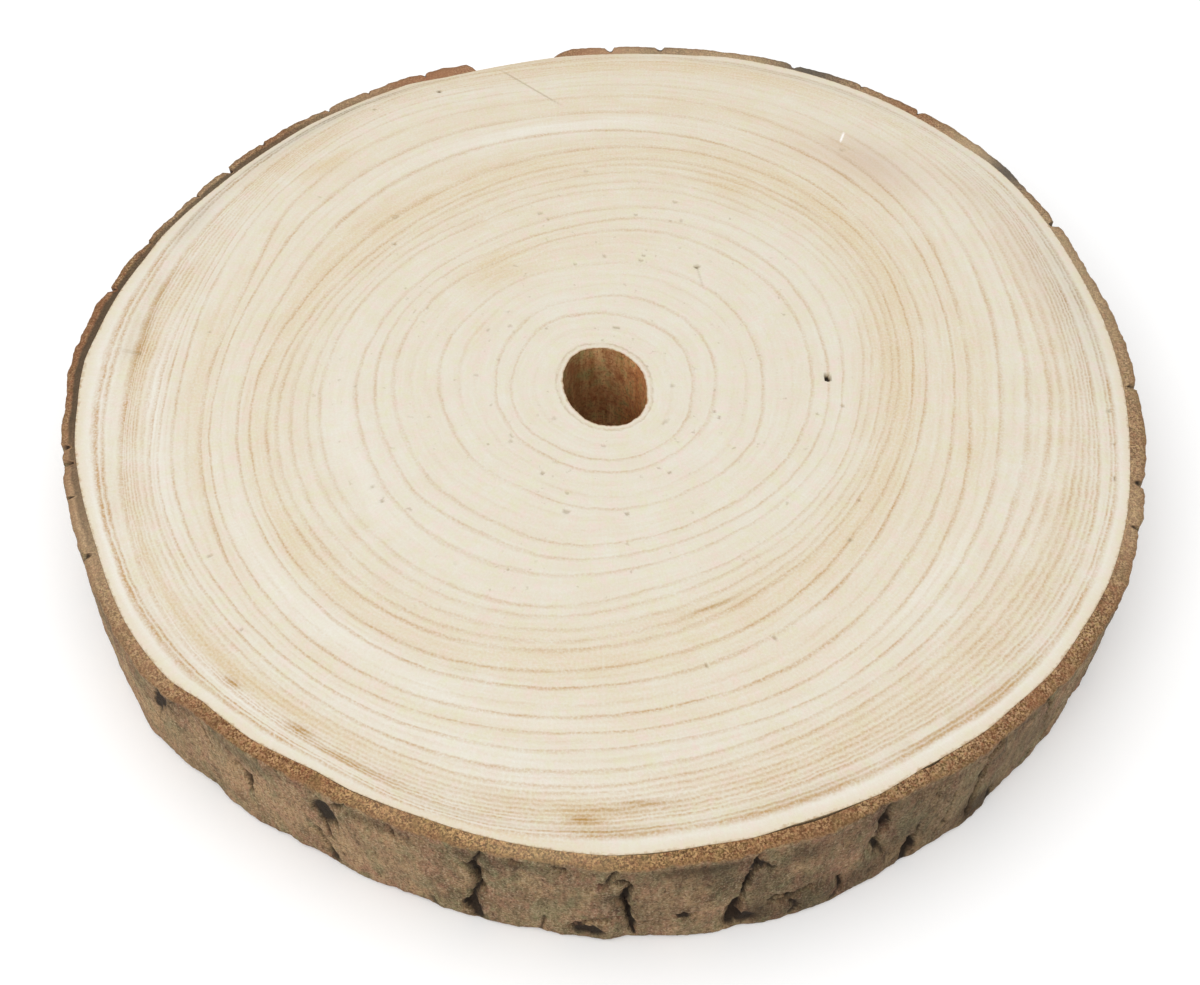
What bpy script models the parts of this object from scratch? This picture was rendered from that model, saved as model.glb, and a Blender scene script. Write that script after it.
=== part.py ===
"""A cross-cut slice of a dry pale log, lying flat: the disc of wood and the bark round it.

Metres, +Z up. The saw cuts are z = 0 and z = THICKNESS, and the origin is the middle of
the underside's bounding box. Angles are in degrees about the pith, anticlockwise from +X
as seen from above, and -Y is the front. Run it with Blender 4.5, from a shell or from the
text editor.
"""

import math
import random

import bmesh
import bpy
import numpy as np

# Both faces are saw cuts, so the slice is equally thick all over
THICKNESS = 0.030

# Pith to the outside of the wood. The tree grew faster towards the back, so the pith
# lies in front of the middle
WOOD_RADII = (
    (0, 0.1235), (20, 0.1283), (40, 0.1360), (60, 0.1385), (80, 0.1373), (100, 0.1328),
    (120, 0.1312), (140, 0.1276), (160, 0.1255), (180, 0.1245), (200, 0.1215), (220, 0.1210),
    (240, 0.1182), (260, 0.1193), (280, 0.1203), (300, 0.1195), (320, 0.1210), (340, 0.1222),
)
WOOD_STEP = 2.5

# Pith to the wall of the hole that the soft pith left, an oval that leans to the left
HOLE_RADII = (
    (0, 0.0099), (30, 0.0101), (60, 0.0113), (90, 0.0130), (120, 0.0133), (150, 0.0115),
    (180, 0.0101), (210, 0.0099), (240, 0.0109), (270, 0.0122), (300, 0.0127), (330, 0.0111),
)
HOLE_STEP = 7.5

# Thickness of the bark at the upper cut and at the lower one
BARK_THICKNESS = (
    (0, 0.0034, 0.0040), (30, 0.0031, 0.0034), (60, 0.0035, 0.0035), (90, 0.0038, 0.0036),
    (108, 0.0044, 0.0040), (120, 0.0036, 0.0035), (150, 0.0033, 0.0035), (180, 0.0035, 0.0040),
    (205, 0.0032, 0.0044), (230, 0.0033, 0.0034), (260, 0.0036, 0.0033), (275, 0.0039, 0.0042),
    (288, 0.0036, 0.0050), (305, 0.0035, 0.0042), (322, 0.0035, 0.0027), (338, 0.0034, 0.0040),
)
# Bark and wood are two tissues that have shrunk apart by a hair
BARK_GAP = 0.0003

# A flake of bark is missing at the back: its two ends at the upper and at the lower cut
CHIP_LEFT = (107.0, 105.0)
CHIP_RIGHT = (97.0, 94.5)
CHIP_TAPER = 0.0045
CHIP_EDGE = 0.0011

# Cracks that split the bark into plates, from the chip round by the left, the front and
# the right: angle at the upper and the lower cut, then depth at the upper and the lower cut
CRACKS = (
    (113.4, 112.0, 0.0009, 0.0012), (120.9, 122.5, 0.0010, 0.0006), (126.7, 126.0, 0.0012, 0.0012),
    (130.7, 132.5, 0.0013, 0.0007), (136.4, 137.8, 0.0005, 0.0013), (142.5, 142.0, 0.0014, 0.0012),
    (148.2, 150.0, 0.0014, 0.0008), (157.6, 156.0, 0.0009, 0.0013), (165.9, 164.2, 0.0014, 0.0014),
    (171.5, 173.0, 0.0005, 0.0013), (177.6, 178.5, 0.0011, 0.0010), (183.0, 182.0, 0.0010, 0.0014),
    (190.0, 188.6, 0.0012, 0.0012), (197.5, 198.5, 0.0006, 0.0014), (205.5, 203.6, 0.0010, 0.0013),
    (213.0, 213.8, 0.0005, 0.0013), (224.0, 220.8, 0.0012, 0.0008), (229.0, 230.0, 0.0004, 0.0009),
    (234.0, 234.8, 0.0006, 0.0009), (243.9, 242.1, 0.0010, 0.0014), (250.8, 252.0, 0.0005, 0.0009),
    (259.4, 259.2, 0.0008, 0.0021), (265.4, 264.6, 0.0004, 0.0009), (269.4, 269.6, 0.0003, 0.0020),
    (272.0, 273.3, 0.0007, 0.0021), (278.6, 277.7, 0.0004, 0.0012), (284.4, 282.7, 0.0010, 0.0024),
    (288.8, 289.6, 0.0004, 0.0010), (293.0, 293.5, 0.0003, 0.0012), (297.4, 297.6, 0.0010, 0.0017),
    (301.8, 301.2, 0.0004, 0.0015), (310.3, 308.8, 0.0010, 0.0024), (317.5, 318.6, 0.0009, 0.0013),
    (324.0, 326.9, 0.0005, 0.0013), (332.0, 330.8, 0.0005, 0.0012), (341.3, 340.0, 0.0010, 0.0014),
    (347.4, 348.8, 0.0013, 0.0010), (354.5, 355.5, 0.0006, 0.0014), (361.6, 360.2, 0.0012, 0.0014),
    (368.5, 369.5, 0.0006, 0.0013), (375.1, 374.0, 0.0011, 0.0009), (379.0, 380.6, 0.0010, 0.0013),
    (387.9, 388.6, 0.0014, 0.0014), (395.5, 394.0, 0.0006, 0.0012), (402.0, 403.5, 0.0013, 0.0010),
    (411.4, 410.4, 0.0013, 0.0014), (419.0, 420.8, 0.0005, 0.0013), (427.5, 426.0, 0.0007, 0.0012),
    (436.0, 436.6, 0.0006, 0.0012), (443.9, 443.0, 0.0012, 0.0012), (449.9, 451.0, 0.0014, 0.0009),
)
CRACK_HALF_WIDTH = 0.0010
# A crack wanders sideways by this much on its way down
CRACK_WANDER = 0.0009

# Each plate is crowned across, stands out a little more or less than its neighbours, and
# is lumpy. Its arrises at the two saw cuts are worn back
PLATE_CROWN = 0.0004
PLATE_STEP = 0.00025
PLATE_LUMPS = 0.00022
PLATE_COLUMNS = (0.34, 0.66)
ARRIS_WEAR = 0.0004
BARK_LEVELS = (0.0, 0.0012, 0.0045, 0.009, 0.014, 0.019, 0.024, 0.0288, 0.030)

SEED = 23


def round_the_pith(stations, angle, column=1):
    """The value at an angle, on a smooth closed curve through the stations' values."""
    angles = [station[0] for station in stations]
    values = [station[column] for station in stations]
    count = len(stations)
    angle %= 360
    here = max(index for index in range(count) if angles[index] <= angle)
    span = (angles[(here + 1) % count] - angles[here]) % 360
    part = (angle - angles[here]) / span
    before, start, end, after = (values[(here + offset) % count] for offset in (-1, 0, 1, 2))
    slope_in, slope_out = (end - before) / 2, (after - start) / 2
    return (
        (2 * part**3 - 3 * part**2 + 1) * start
        + (part**3 - 2 * part**2 + part) * slope_in
        + (3 * part**2 - 2 * part**3) * end
        + (part**3 - part**2) * slope_out
    )


def at(angle, radius, height):
    """The point at an angle and a distance from the pith."""
    turn = math.radians(angle)
    return radius * math.cos(turn), radius * math.sin(turn), height


def degrees_along(length, angle):
    """The angle that a length takes up along the outside of the wood."""
    return math.degrees(length / round_the_pith(WOOD_RADII, angle))


def material(name, colour, roughness):
    made = bpy.data.materials.new(name)
    made.use_nodes = True
    shader = made.node_tree.nodes["Principled BSDF"]
    shader.inputs["Base Color"].default_value = (*colour, 1.0)
    shader.inputs["Roughness"].default_value = roughness
    shader.inputs["Metallic"].default_value = 0.0
    made.diffuse_color = (*colour, 1.0)
    return made


def add_outline(curve, stations, step):
    """A closed spline round the pith, with a point at each step in degrees."""
    count = round(360 / step)
    spline = curve.splines.new("POLY")
    spline.points.add(count - 1)
    for index, point in enumerate(spline.points):
        angle = index * step
        point.co = (*at(angle, round_the_pith(stations, angle), 0.0), 1.0)
    spline.use_cyclic_u = True


def make_wood(collection):
    """The disc: its outline and that of the pith hole, filled and extruded."""
    curve = bpy.data.curves.new("wood", "CURVE")
    curve.dimensions = "2D"
    curve.fill_mode = "BOTH"
    curve.extrude = THICKNESS / 2
    add_outline(curve, WOOD_RADII, WOOD_STEP)
    add_outline(curve, HOLE_RADII, HOLE_STEP)
    curve.materials.append(material("pale_wood", (0.80, 0.70, 0.54), 0.65))
    wood = bpy.data.objects.new("wood", curve)
    wood.location.z = THICKNESS / 2
    collection.objects.link(wood)
    return wood


def bark_thickness(angle, height):
    rise = height / THICKNESS
    upper = round_the_pith(BARK_THICKNESS, angle)
    lower = round_the_pith(BARK_THICKNESS, angle, column=2)
    return lower + (upper - lower) * rise


def line_down(upper, lower, height, wander=0.0):
    """The angle at a height, on a line from an angle at the upper cut to one at the lower."""
    rise = height / THICKNESS
    straight = lower + (upper - lower) * rise
    return straight + degrees_along(wander, straight) * math.sin(2 * math.pi * rise)


def crack_columns(crack, height, wander):
    """The floor and the two lips of a crack at one height, as (angle, depth) columns."""
    upper, lower, upper_depth, lower_depth = crack
    floor = line_down(upper, lower, height, wander)
    half = degrees_along(CRACK_HALF_WIDTH, floor)
    depth = lower_depth + (upper_depth - lower_depth) * height / THICKNESS
    return [(floor - half, 0.0), (floor, depth), (floor + half, 0.0)]


def bark_columns(height, wanders, steps):
    """The outer side of the bark at one height: (angle, thickness) from end to end."""
    left_end = line_down(*CHIP_LEFT, height)
    right_end = line_down(*CHIP_RIGHT, height) + 360
    taper = degrees_along(CHIP_TAPER, left_end)
    cracks = [crack_columns(crack, height, wander) for crack, wander in zip(CRACKS, wanders)]
    columns = [(left_end, bark_thickness(left_end, height) - CHIP_EDGE)]
    plate_start = left_end + taper
    columns.append((plate_start, 0.0))
    for index, step in enumerate(steps):
        last = index == len(cracks)
        plate_end = right_end - taper if last else cracks[index][0][0]
        for part in PLATE_COLUMNS:
            crown = PLATE_CROWN * math.sin(math.pi * part) + step
            columns.append((plate_start + (plate_end - plate_start) * part, -crown))
        if not last:
            columns.extend(cracks[index])
            plate_start = cracks[index][-1][0]
    columns.append((right_end - taper, 0.0))
    columns.append((right_end, bark_thickness(right_end, height) - CHIP_EDGE))
    return [(angle, bark_thickness(angle, height) - depth) for angle, depth in columns]


def worn(height):
    """How far the arris at a saw cut is worn back."""
    return ARRIS_WEAR if height in (BARK_LEVELS[0], BARK_LEVELS[-1]) else 0.0


def make_bark(collection):
    """The open ring of bark, a loft of upright sections, each with its own outer side."""
    draw = random.Random(SEED)
    wanders = [draw.uniform(-CRACK_WANDER, CRACK_WANDER) for _ in CRACKS]
    steps = [draw.uniform(-PLATE_STEP, PLATE_STEP) for _ in range(len(CRACKS) + 1)]
    levels = [bark_columns(height, wanders, steps) for height in BARK_LEVELS]
    mesh = bmesh.new()
    sections = []
    for column in range(len(levels[0])):
        section = []
        for height, level in zip(BARK_LEVELS, levels):
            angle, thick = level[column]
            lump = draw.uniform(-PLATE_LUMPS, PLATE_LUMPS)
            inside = round_the_pith(WOOD_RADII, angle) + BARK_GAP
            section.append(mesh.verts.new(at(angle, inside + thick + lump - worn(height), height)))
        for height, level in ((BARK_LEVELS[-1], levels[-1]), (BARK_LEVELS[0], levels[0])):
            angle = level[column][0]
            inside = round_the_pith(WOOD_RADII, angle) + BARK_GAP
            section.append(mesh.verts.new(at(angle, inside, height)))
        sections.append(section)
    for section, following in zip(sections, sections[1:]):
        for corner in range(len(section)):
            onward = (corner + 1) % len(section)
            mesh.faces.new((section[corner], following[corner], following[onward], section[onward]))
    mesh.faces.new(sections[0])
    mesh.faces.new(reversed(sections[-1]))
    bmesh.ops.recalc_face_normals(mesh, faces=mesh.faces)
    bmesh.ops.triangulate(mesh, faces=mesh.faces)
    data = bpy.data.meshes.new("bark")
    mesh.to_mesh(data)
    mesh.free()
    data.shade_smooth()
    data.set_sharp_from_angle(angle=math.radians(40))
    data.materials.append(material("dry_bark", (0.21, 0.15, 0.10), 0.9))
    bark = bpy.data.objects.new("bark", data)
    collection.objects.link(bark)
    return bark


def stand_on_origin(wood, bark):
    """Moves both pieces so that the middle of the underside's box is the origin."""
    corners = np.array([vertex.co for vertex in bark.data.vertices])
    middle = (corners.min(axis=0) + corners.max(axis=0)) / 2
    for piece in (wood, bark):
        piece.location.x = -middle[0]
        piece.location.y = -middle[1]


for leftover in list(bpy.data.objects):
    bpy.data.objects.remove(leftover)

slice_parts = bpy.data.collections.new("wood_slice")
bpy.context.scene.collection.children.link(slice_parts)
stand_on_origin(make_wood(slice_parts), make_bark(slice_parts))
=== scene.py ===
"""A cross-cut slice of a pale, light log, lying flat with its bark on, as it looks from near by.

Metres, +Z up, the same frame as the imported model. Angles are in degrees round the pith,
anticlockwise from +X as seen from above, and -Y is the front.
"""

import math

import bmesh
import bpy
import numpy as np
from mathutils import Matrix, Vector, noise


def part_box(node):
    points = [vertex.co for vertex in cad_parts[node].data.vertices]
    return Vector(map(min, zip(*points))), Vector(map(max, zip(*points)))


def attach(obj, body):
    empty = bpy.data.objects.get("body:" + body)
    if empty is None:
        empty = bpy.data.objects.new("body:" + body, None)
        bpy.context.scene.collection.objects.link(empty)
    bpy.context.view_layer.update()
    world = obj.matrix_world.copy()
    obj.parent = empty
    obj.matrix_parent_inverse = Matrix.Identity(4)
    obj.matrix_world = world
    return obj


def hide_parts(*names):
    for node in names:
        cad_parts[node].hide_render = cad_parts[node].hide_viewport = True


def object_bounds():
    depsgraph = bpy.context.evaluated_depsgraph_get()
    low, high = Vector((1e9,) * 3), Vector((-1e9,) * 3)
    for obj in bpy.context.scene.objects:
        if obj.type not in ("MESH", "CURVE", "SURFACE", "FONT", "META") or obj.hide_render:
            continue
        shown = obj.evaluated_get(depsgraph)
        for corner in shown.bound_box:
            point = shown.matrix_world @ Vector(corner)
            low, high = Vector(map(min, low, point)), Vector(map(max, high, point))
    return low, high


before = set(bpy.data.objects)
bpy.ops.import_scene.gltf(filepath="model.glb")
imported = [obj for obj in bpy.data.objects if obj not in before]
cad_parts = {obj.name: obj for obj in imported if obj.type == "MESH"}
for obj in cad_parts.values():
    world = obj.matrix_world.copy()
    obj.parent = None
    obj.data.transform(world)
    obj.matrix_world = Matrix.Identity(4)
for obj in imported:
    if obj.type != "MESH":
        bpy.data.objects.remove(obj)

packed_size = [list(corner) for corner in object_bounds()]


# The viewpoint: in front of the slice and half a right angle above it, through a normal lens,
# with the horizon tipped by a degree
viewpoint_lens = bpy.data.cameras.new("viewpoint")
viewpoint_lens.sensor_fit = "HORIZONTAL"
viewpoint_lens.sensor_width = 36
viewpoint_lens.lens = 45.855
viewpoint = bpy.data.objects.new("viewpoint", viewpoint_lens)
viewpoint.matrix_world = (
    Matrix.Translation((-0.000396, -0.25992, 0.29383))
    @ Matrix.Rotation(math.radians(39.771), 4, "X")
    @ Matrix.Rotation(math.radians(0.945), 4, "Z")
)
bpy.context.scene.collection.objects.link(viewpoint)
bpy.context.scene.camera = viewpoint


# The disc of wood: pale, very light end grain, sawn across the trunk and sanded once, with
# the hole that the soft pith left. It is one piece, and the bark still clings round it
PITH = np.array((0.00038, -0.00760))
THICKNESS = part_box("wood")[1].z
MM = 0.001
# Mean distances from the pith to the hole's wall and to the wood's edge, in mm. The packed
# disc's corners belong to the one within HOLE_WITHIN metres, and to the other past EDGE_BEYOND
MEAN_HOLE, MEAN_EDGE = 11.2, 125.4
HOLE_WITHIN, EDGE_BEYOND = 0.03, 0.08
# The mesh has this many columns round the pith, rows about this far apart on the saw cuts, in
# mm, and this many down the hole. A row wavers by these shares of the way out, in waves of so
# many mm where it is WAVER_RADIUS mm from the pith
WOOD_COLUMNS, ROW_SPACING, HOLE_LEVELS = 480, 2.1, 16
WAVERS, WAVER_RADIUS = ((0.0016, 6.0), (0.0012, 22.0)), 60.0

# The growth lines that can be followed all the way round: how strongly each shows, how tan
# the wood outside it is, and its share of the way from the hole to the bark, in thousandths,
# at every 20 degrees
GROWTH_LINES = (
    (0.75, 0.05, 96, 99, 100, 100, 97, 101, 105, 106, 104, 109, 112, 111, 103, 100, 96, 93, 94, 93),
    (0.65, 0.00, 142, 150, 152, 155, 155, 150, 147, 144, 142, 140, 141, 141, 137, 135, 131, 128, 131, 136),
    (0.70, 0.05, 244, 246, 248, 250, 253, 250, 251, 254, 263, 258, 252, 250, 240, 235, 230, 228, 237, 243),
    (0.75, 0.10, 346, 352, 355, 357, 360, 348, 328, 348, 355, 352, 351, 350, 346, 338, 315, 307, 313, 330),
    (0.70, 0.06, 381, 387, 392, 399, 399, 378, 362, 383, 391, 390, 392, 393, 383, 375, 347, 341, 350, 366),
    (0.65, 0.00, 410, 427, 435, 442, 437, 418, 397, 408, 420, 428, 435, 440, 444, 417, 383, 371, 376, 395),
    (0.60, 0.12, 450, 477, 485, 490, 497, 487, 463, 477, 490, 500, 520, 521, 527, 497, 442, 427, 423, 434),
    (0.85, 0.30, 528, 553, 572, 590, 600, 588, 557, 555, 573, 600, 632, 637, 643, 600, 553, 520, 500, 501),
    (1.00, 0.35, 558, 585, 607, 627, 642, 636, 601, 600, 607, 637, 665, 678, 690, 650, 603, 575, 538, 537),
    (0.95, 0.05, 585, 613, 634, 668, 695, 710, 700, 685, 658, 663, 690, 702, 721, 685, 645, 617, 578, 565),
    (0.95, 0.20, 645, 672, 705, 738, 763, 778, 776, 757, 722, 719, 748, 763, 784, 750, 713, 695, 655, 637),
    (0.90, 0.30, 675, 702, 742, 790, 825, 843, 849, 820, 745, 736, 765, 789, 816, 783, 751, 738, 702, 678),
    (0.85, 0.05, 740, 772, 810, 857, 870, 885, 895, 870, 822, 796, 823, 824, 844, 820, 785, 780, 747, 733),
    (0.80, 0.05, 798, 825, 862, 898, 912, 920, 925, 890, 838, 820, 852, 851, 876, 862, 828, 808, 793, 781),
    (0.75, 0.20, 845, 855, 890, 925, 935, 942, 945, 905, 850, 836, 867, 873, 900, 893, 857, 837, 820, 820),
    (0.65, 0.15, 890, 905, 925, 945, 955, 955, 955, 915, 875, 872, 893, 903, 925, 922, 885, 875, 865, 870),
    (0.95, 0.00, 935, 942, 955, 965, 970, 970, 970, 945, 920, 897, 922, 937, 958, 962, 935, 928, 935, 937),
    (1.00, 0.00, 966, 970, 975, 983, 986, 988, 989, 984, 965, 950, 960, 963, 974, 982, 957, 957, 965, 964),
)
# Fainter lines between them: the line that each follows, counted from 1, or 0 for the hole's
# wall, how far on to the next, and strength
FAINT_LINES = (
    (0, 0.10, 0.4), (0, 0.55, 0.12), (2, 0.35, 0.12), (2, 0.65, 0.25), (3, 0.3, 0.12), (3, 0.62, 0.15),
    (7, 0.23, 0.55), (7, 0.54, 0.6), (7, 0.8, 0.65), (9, 0.5, 0.12), (10, 0.6, 0.22), (12, 0.5, 0.18),
    (13, 0.5, 0.15), (14, 0.5, 0.2), (15, 0.5, 0.55), (16, 0.22, 0.7), (16, 0.45, 0.75), (16, 0.68, 0.8),
    (16, 0.86, 0.8), (17, 0.55, 0.15),
)
# How many mm a growth line takes to rise to its darkest on the inside and to fade outward
LINE_RISE, LINE_FALL = 0.5, 0.95
# The last year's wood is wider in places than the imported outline, or narrower: angle and how
# much, in mm
WIDER = (
    (0, 0.4), (12, 0.6), (16, 0.3), (40, 0.4), (45, -0.2), (50, 0.3), (56, 1.0), (66, 1.4), (76, 1.5),
    (80, 0.4), (85, 0.2), (90, 0.5), (96, 1.1), (106, 0.0), (111, -0.3), (116, 0.8), (119, 0.3), (125, 0.2),
    (130, 0.6), (135, 0.3), (146, 0.1), (156, 0.7), (160, 0.3), (166, 0.6), (173, 0.4), (177, 0.8),
    (184, 0.0), (190, 0.3), (205, -0.3), (215, 0.5), (224, 0.9), (228, -0.2), (235, 0.7), (242, -0.1),
    (246, 0.3), (254, 0.0), (264, 0.8), (271, 1.3), (280, 0.2), (284, 0.5), (288, 0.1), (297, 0.8),
    (302, 0.1), (310, 0.5), (314, 0.1), (320, 0.6), (326, 0.2), (333, 0.5), (342, 0.1), (350, -0.1),
)


def round_the_pith(values, angles):
    """A smooth closed curve through values at even steps round the pith."""
    values = np.asarray(values, float)
    station = np.asarray(angles, float) / 360 * len(values)
    here = np.floor(station).astype(int)
    part = station - here
    before, start, end, after = (values[(here + step) % len(values)] for step in (-1, 0, 1, 2))
    bend = 2 * before - 5 * start + 4 * end - after
    return start + part / 2 * (end - before + part * (bend + part * (3 * (start - end) + after - before)))


def at_angle(stations, angles):
    """A value at angles round the pith, from stations of angle and value."""
    return np.interp(angles, *zip(*stations), period=360)


def turn_from(angle, angles):
    """How far angles lie past one angle, in degrees, the shorter way round."""
    return (angles - angle + 180) % 360 - 180


def packed_edge_between(nearest, furthest):
    """How far out, in mm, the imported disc's corners between two distances are at each column."""
    corners = np.array([vertex.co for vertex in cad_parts["wood"].data.vertices])
    across = corners[:, :2] - PITH
    distance = np.hypot(across[:, 0], across[:, 1])
    kept = (distance > nearest) & (distance < furthest)
    angles = np.degrees(np.arctan2(across[kept, 1], across[kept, 0])) % 360
    order = np.argsort(angles)
    return np.interp(wood_turns, angles[order], distance[kept][order], period=360) / MM


def edge_at(angles, edge):
    """How far out the wood's edge or its hole is at angles round the pith."""
    return np.interp(angles, wood_turns, edge, period=360)


def noise_at(points, feature, octaves=2, shift=0.0):
    """Smooth noise, about -1 to 1, at points in mm, for features of a size in mm."""
    offset = Vector((shift, 2.7 * shift, -1.3 * shift))
    flat = np.asarray(points, float).reshape(-1, 3) / feature
    found = [noise.fractal(Vector(point) + offset, 1.0, 2.0, octaves) for point in flat]
    return np.array(found).reshape(np.asarray(points).shape[:-1])


def place(angles, distance, height):
    """Points in metres at angles round the pith, from distances in mm and heights in metres."""
    turn = np.radians(angles)
    across = distance * MM
    east = PITH[0] + across * np.cos(turn)
    north = PITH[1] + across * np.sin(turn)
    return np.stack([east, north, np.broadcast_to(height, east.shape)], axis=-1)


def grid_faces(rows, columns, closed=True):
    """The quads of a grid of points. Its last row meets its first, and its columns too if closed."""
    faces = []
    for row in range(rows):
        here, onward = row * columns, (row + 1) % rows * columns
        for column in range(columns if closed else columns - 1):
            beside = (column + 1) % columns
            faces.append((here + column, onward + column, onward + beside, here + beside))
    return faces


def store(mesh, name, values):
    """Keeps a value for each point of a mesh, for its finish to read."""
    values = np.asarray(values, np.float32).ravel()
    mesh.attributes.new(name, "FLOAT", "POINT").data.foreach_set("value", values)


wood_turns = np.arange(WOOD_COLUMNS) * 360 / WOOD_COLUMNS
packed_edge = packed_edge_between(EDGE_BEYOND, math.inf)
hole_edge = packed_edge_between(0.0, HOLE_WITHIN)
wider = at_angle(WIDER, wood_turns)
wood_edge = packed_edge + wider

line_shares = [np.zeros(WOOD_COLUMNS)]
line_shares += [round_the_pith(line[2:], wood_turns) / 1000 for line in GROWTH_LINES]
line_shares += [np.ones(WOOD_COLUMNS)]
line_places = [MEAN_HOLE + (MEAN_EDGE - MEAN_HOLE) * shares.mean() for shares in line_shares]

# The grid's rows run along the growth lines, so that a line never steps from row to row
face_shares, face_growth = [], []
for inner, outer, from_mm, to_mm in zip(line_shares, line_shares[1:], line_places, line_places[1:]):
    steps = max(1, round((to_mm - from_mm) / ROW_SPACING))
    for step in range(steps):
        face_shares.append(inner + (outer - inner) * step / steps)
        face_growth.append(from_mm + (to_mm - from_mm) * step / steps)
face_shares = np.array(face_shares + [line_shares[-1]])
face_growth = np.array(face_growth + [line_places[-1]])
round_points = place(wood_turns, np.full(WOOD_COLUMNS, WAVER_RADIUS), 0.0) / MM
for row, growth in enumerate(face_growth[1:-1], 1):
    lifted = round_points + np.array((0.0, 0.0, growth))
    face_shares[row] += sum(share * noise_at(lifted, feature) for share, feature in WAVERS)
last_year = np.clip((face_growth - line_places[-2]) / (line_places[-1] - line_places[-2]), 0, 1)[:, None]

# The wall of the hole has lumps of 7 mm and upright threads a millimetre wide
hole_heights = np.linspace(0, THICKNESS, HOLE_LEVELS)
hole_rings = []
for height in hole_heights:
    lining = place(wood_turns, hole_edge, height) / MM
    lumps = 0.35 * noise_at(lining, 7.0, 3) + 0.16 * noise_at(lining * (1, 1, 0.12), 0.9, 2, shift=9.0)
    hole_rings.append(hole_edge + lumps)


def cut_face(height, hole_ring):
    """The rows of one saw cut, from the hole to the bark."""
    distances = hole_ring + (packed_edge - hole_ring) * face_shares + wider * last_year
    return place(np.broadcast_to(wood_turns, distances.shape), distances, height)


upper_rows = cut_face(THICKNESS, hole_rings[-1])
lower_rows = cut_face(0.0, hole_rings[0])[::-1]
edge_rows = [place(wood_turns, wood_edge, THICKNESS * share) for share in (0.75, 0.5, 0.25)]
hole_rows = [place(wood_turns, ring, height) for ring, height in zip(hole_rings[1:-1], hole_heights[1:-1])]
wood_rows = np.concatenate([upper_rows, edge_rows, lower_rows, hole_rows])
edge_growth, hole_growth = [MEAN_EDGE] * len(edge_rows), [MEAN_HOLE] * len(hole_rows)
wood_growth = np.concatenate([face_growth, edge_growth, face_growth[::-1], hole_growth])

wood_mesh = bpy.data.meshes.new("sawn_disc")
wood_mesh.from_pydata(wood_rows.reshape(-1, 3), [], grid_faces(len(wood_rows), WOOD_COLUMNS))
store(wood_mesh, "growth", np.repeat(wood_growth, WOOD_COLUMNS))
# The finish of each row of faces: 0 is a saw cut, 1 the outside and 2 the wall of the hole
finish_of_row = [0] * (len(upper_rows) - 1) + [1] * (len(edge_rows) + 1)
finish_of_row += [0] * (len(lower_rows) - 1) + [2] * (len(hole_rows) + 1)
wood_mesh.polygons.foreach_set("material_index", np.repeat(finish_of_row, WOOD_COLUMNS).astype(np.int32))

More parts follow.
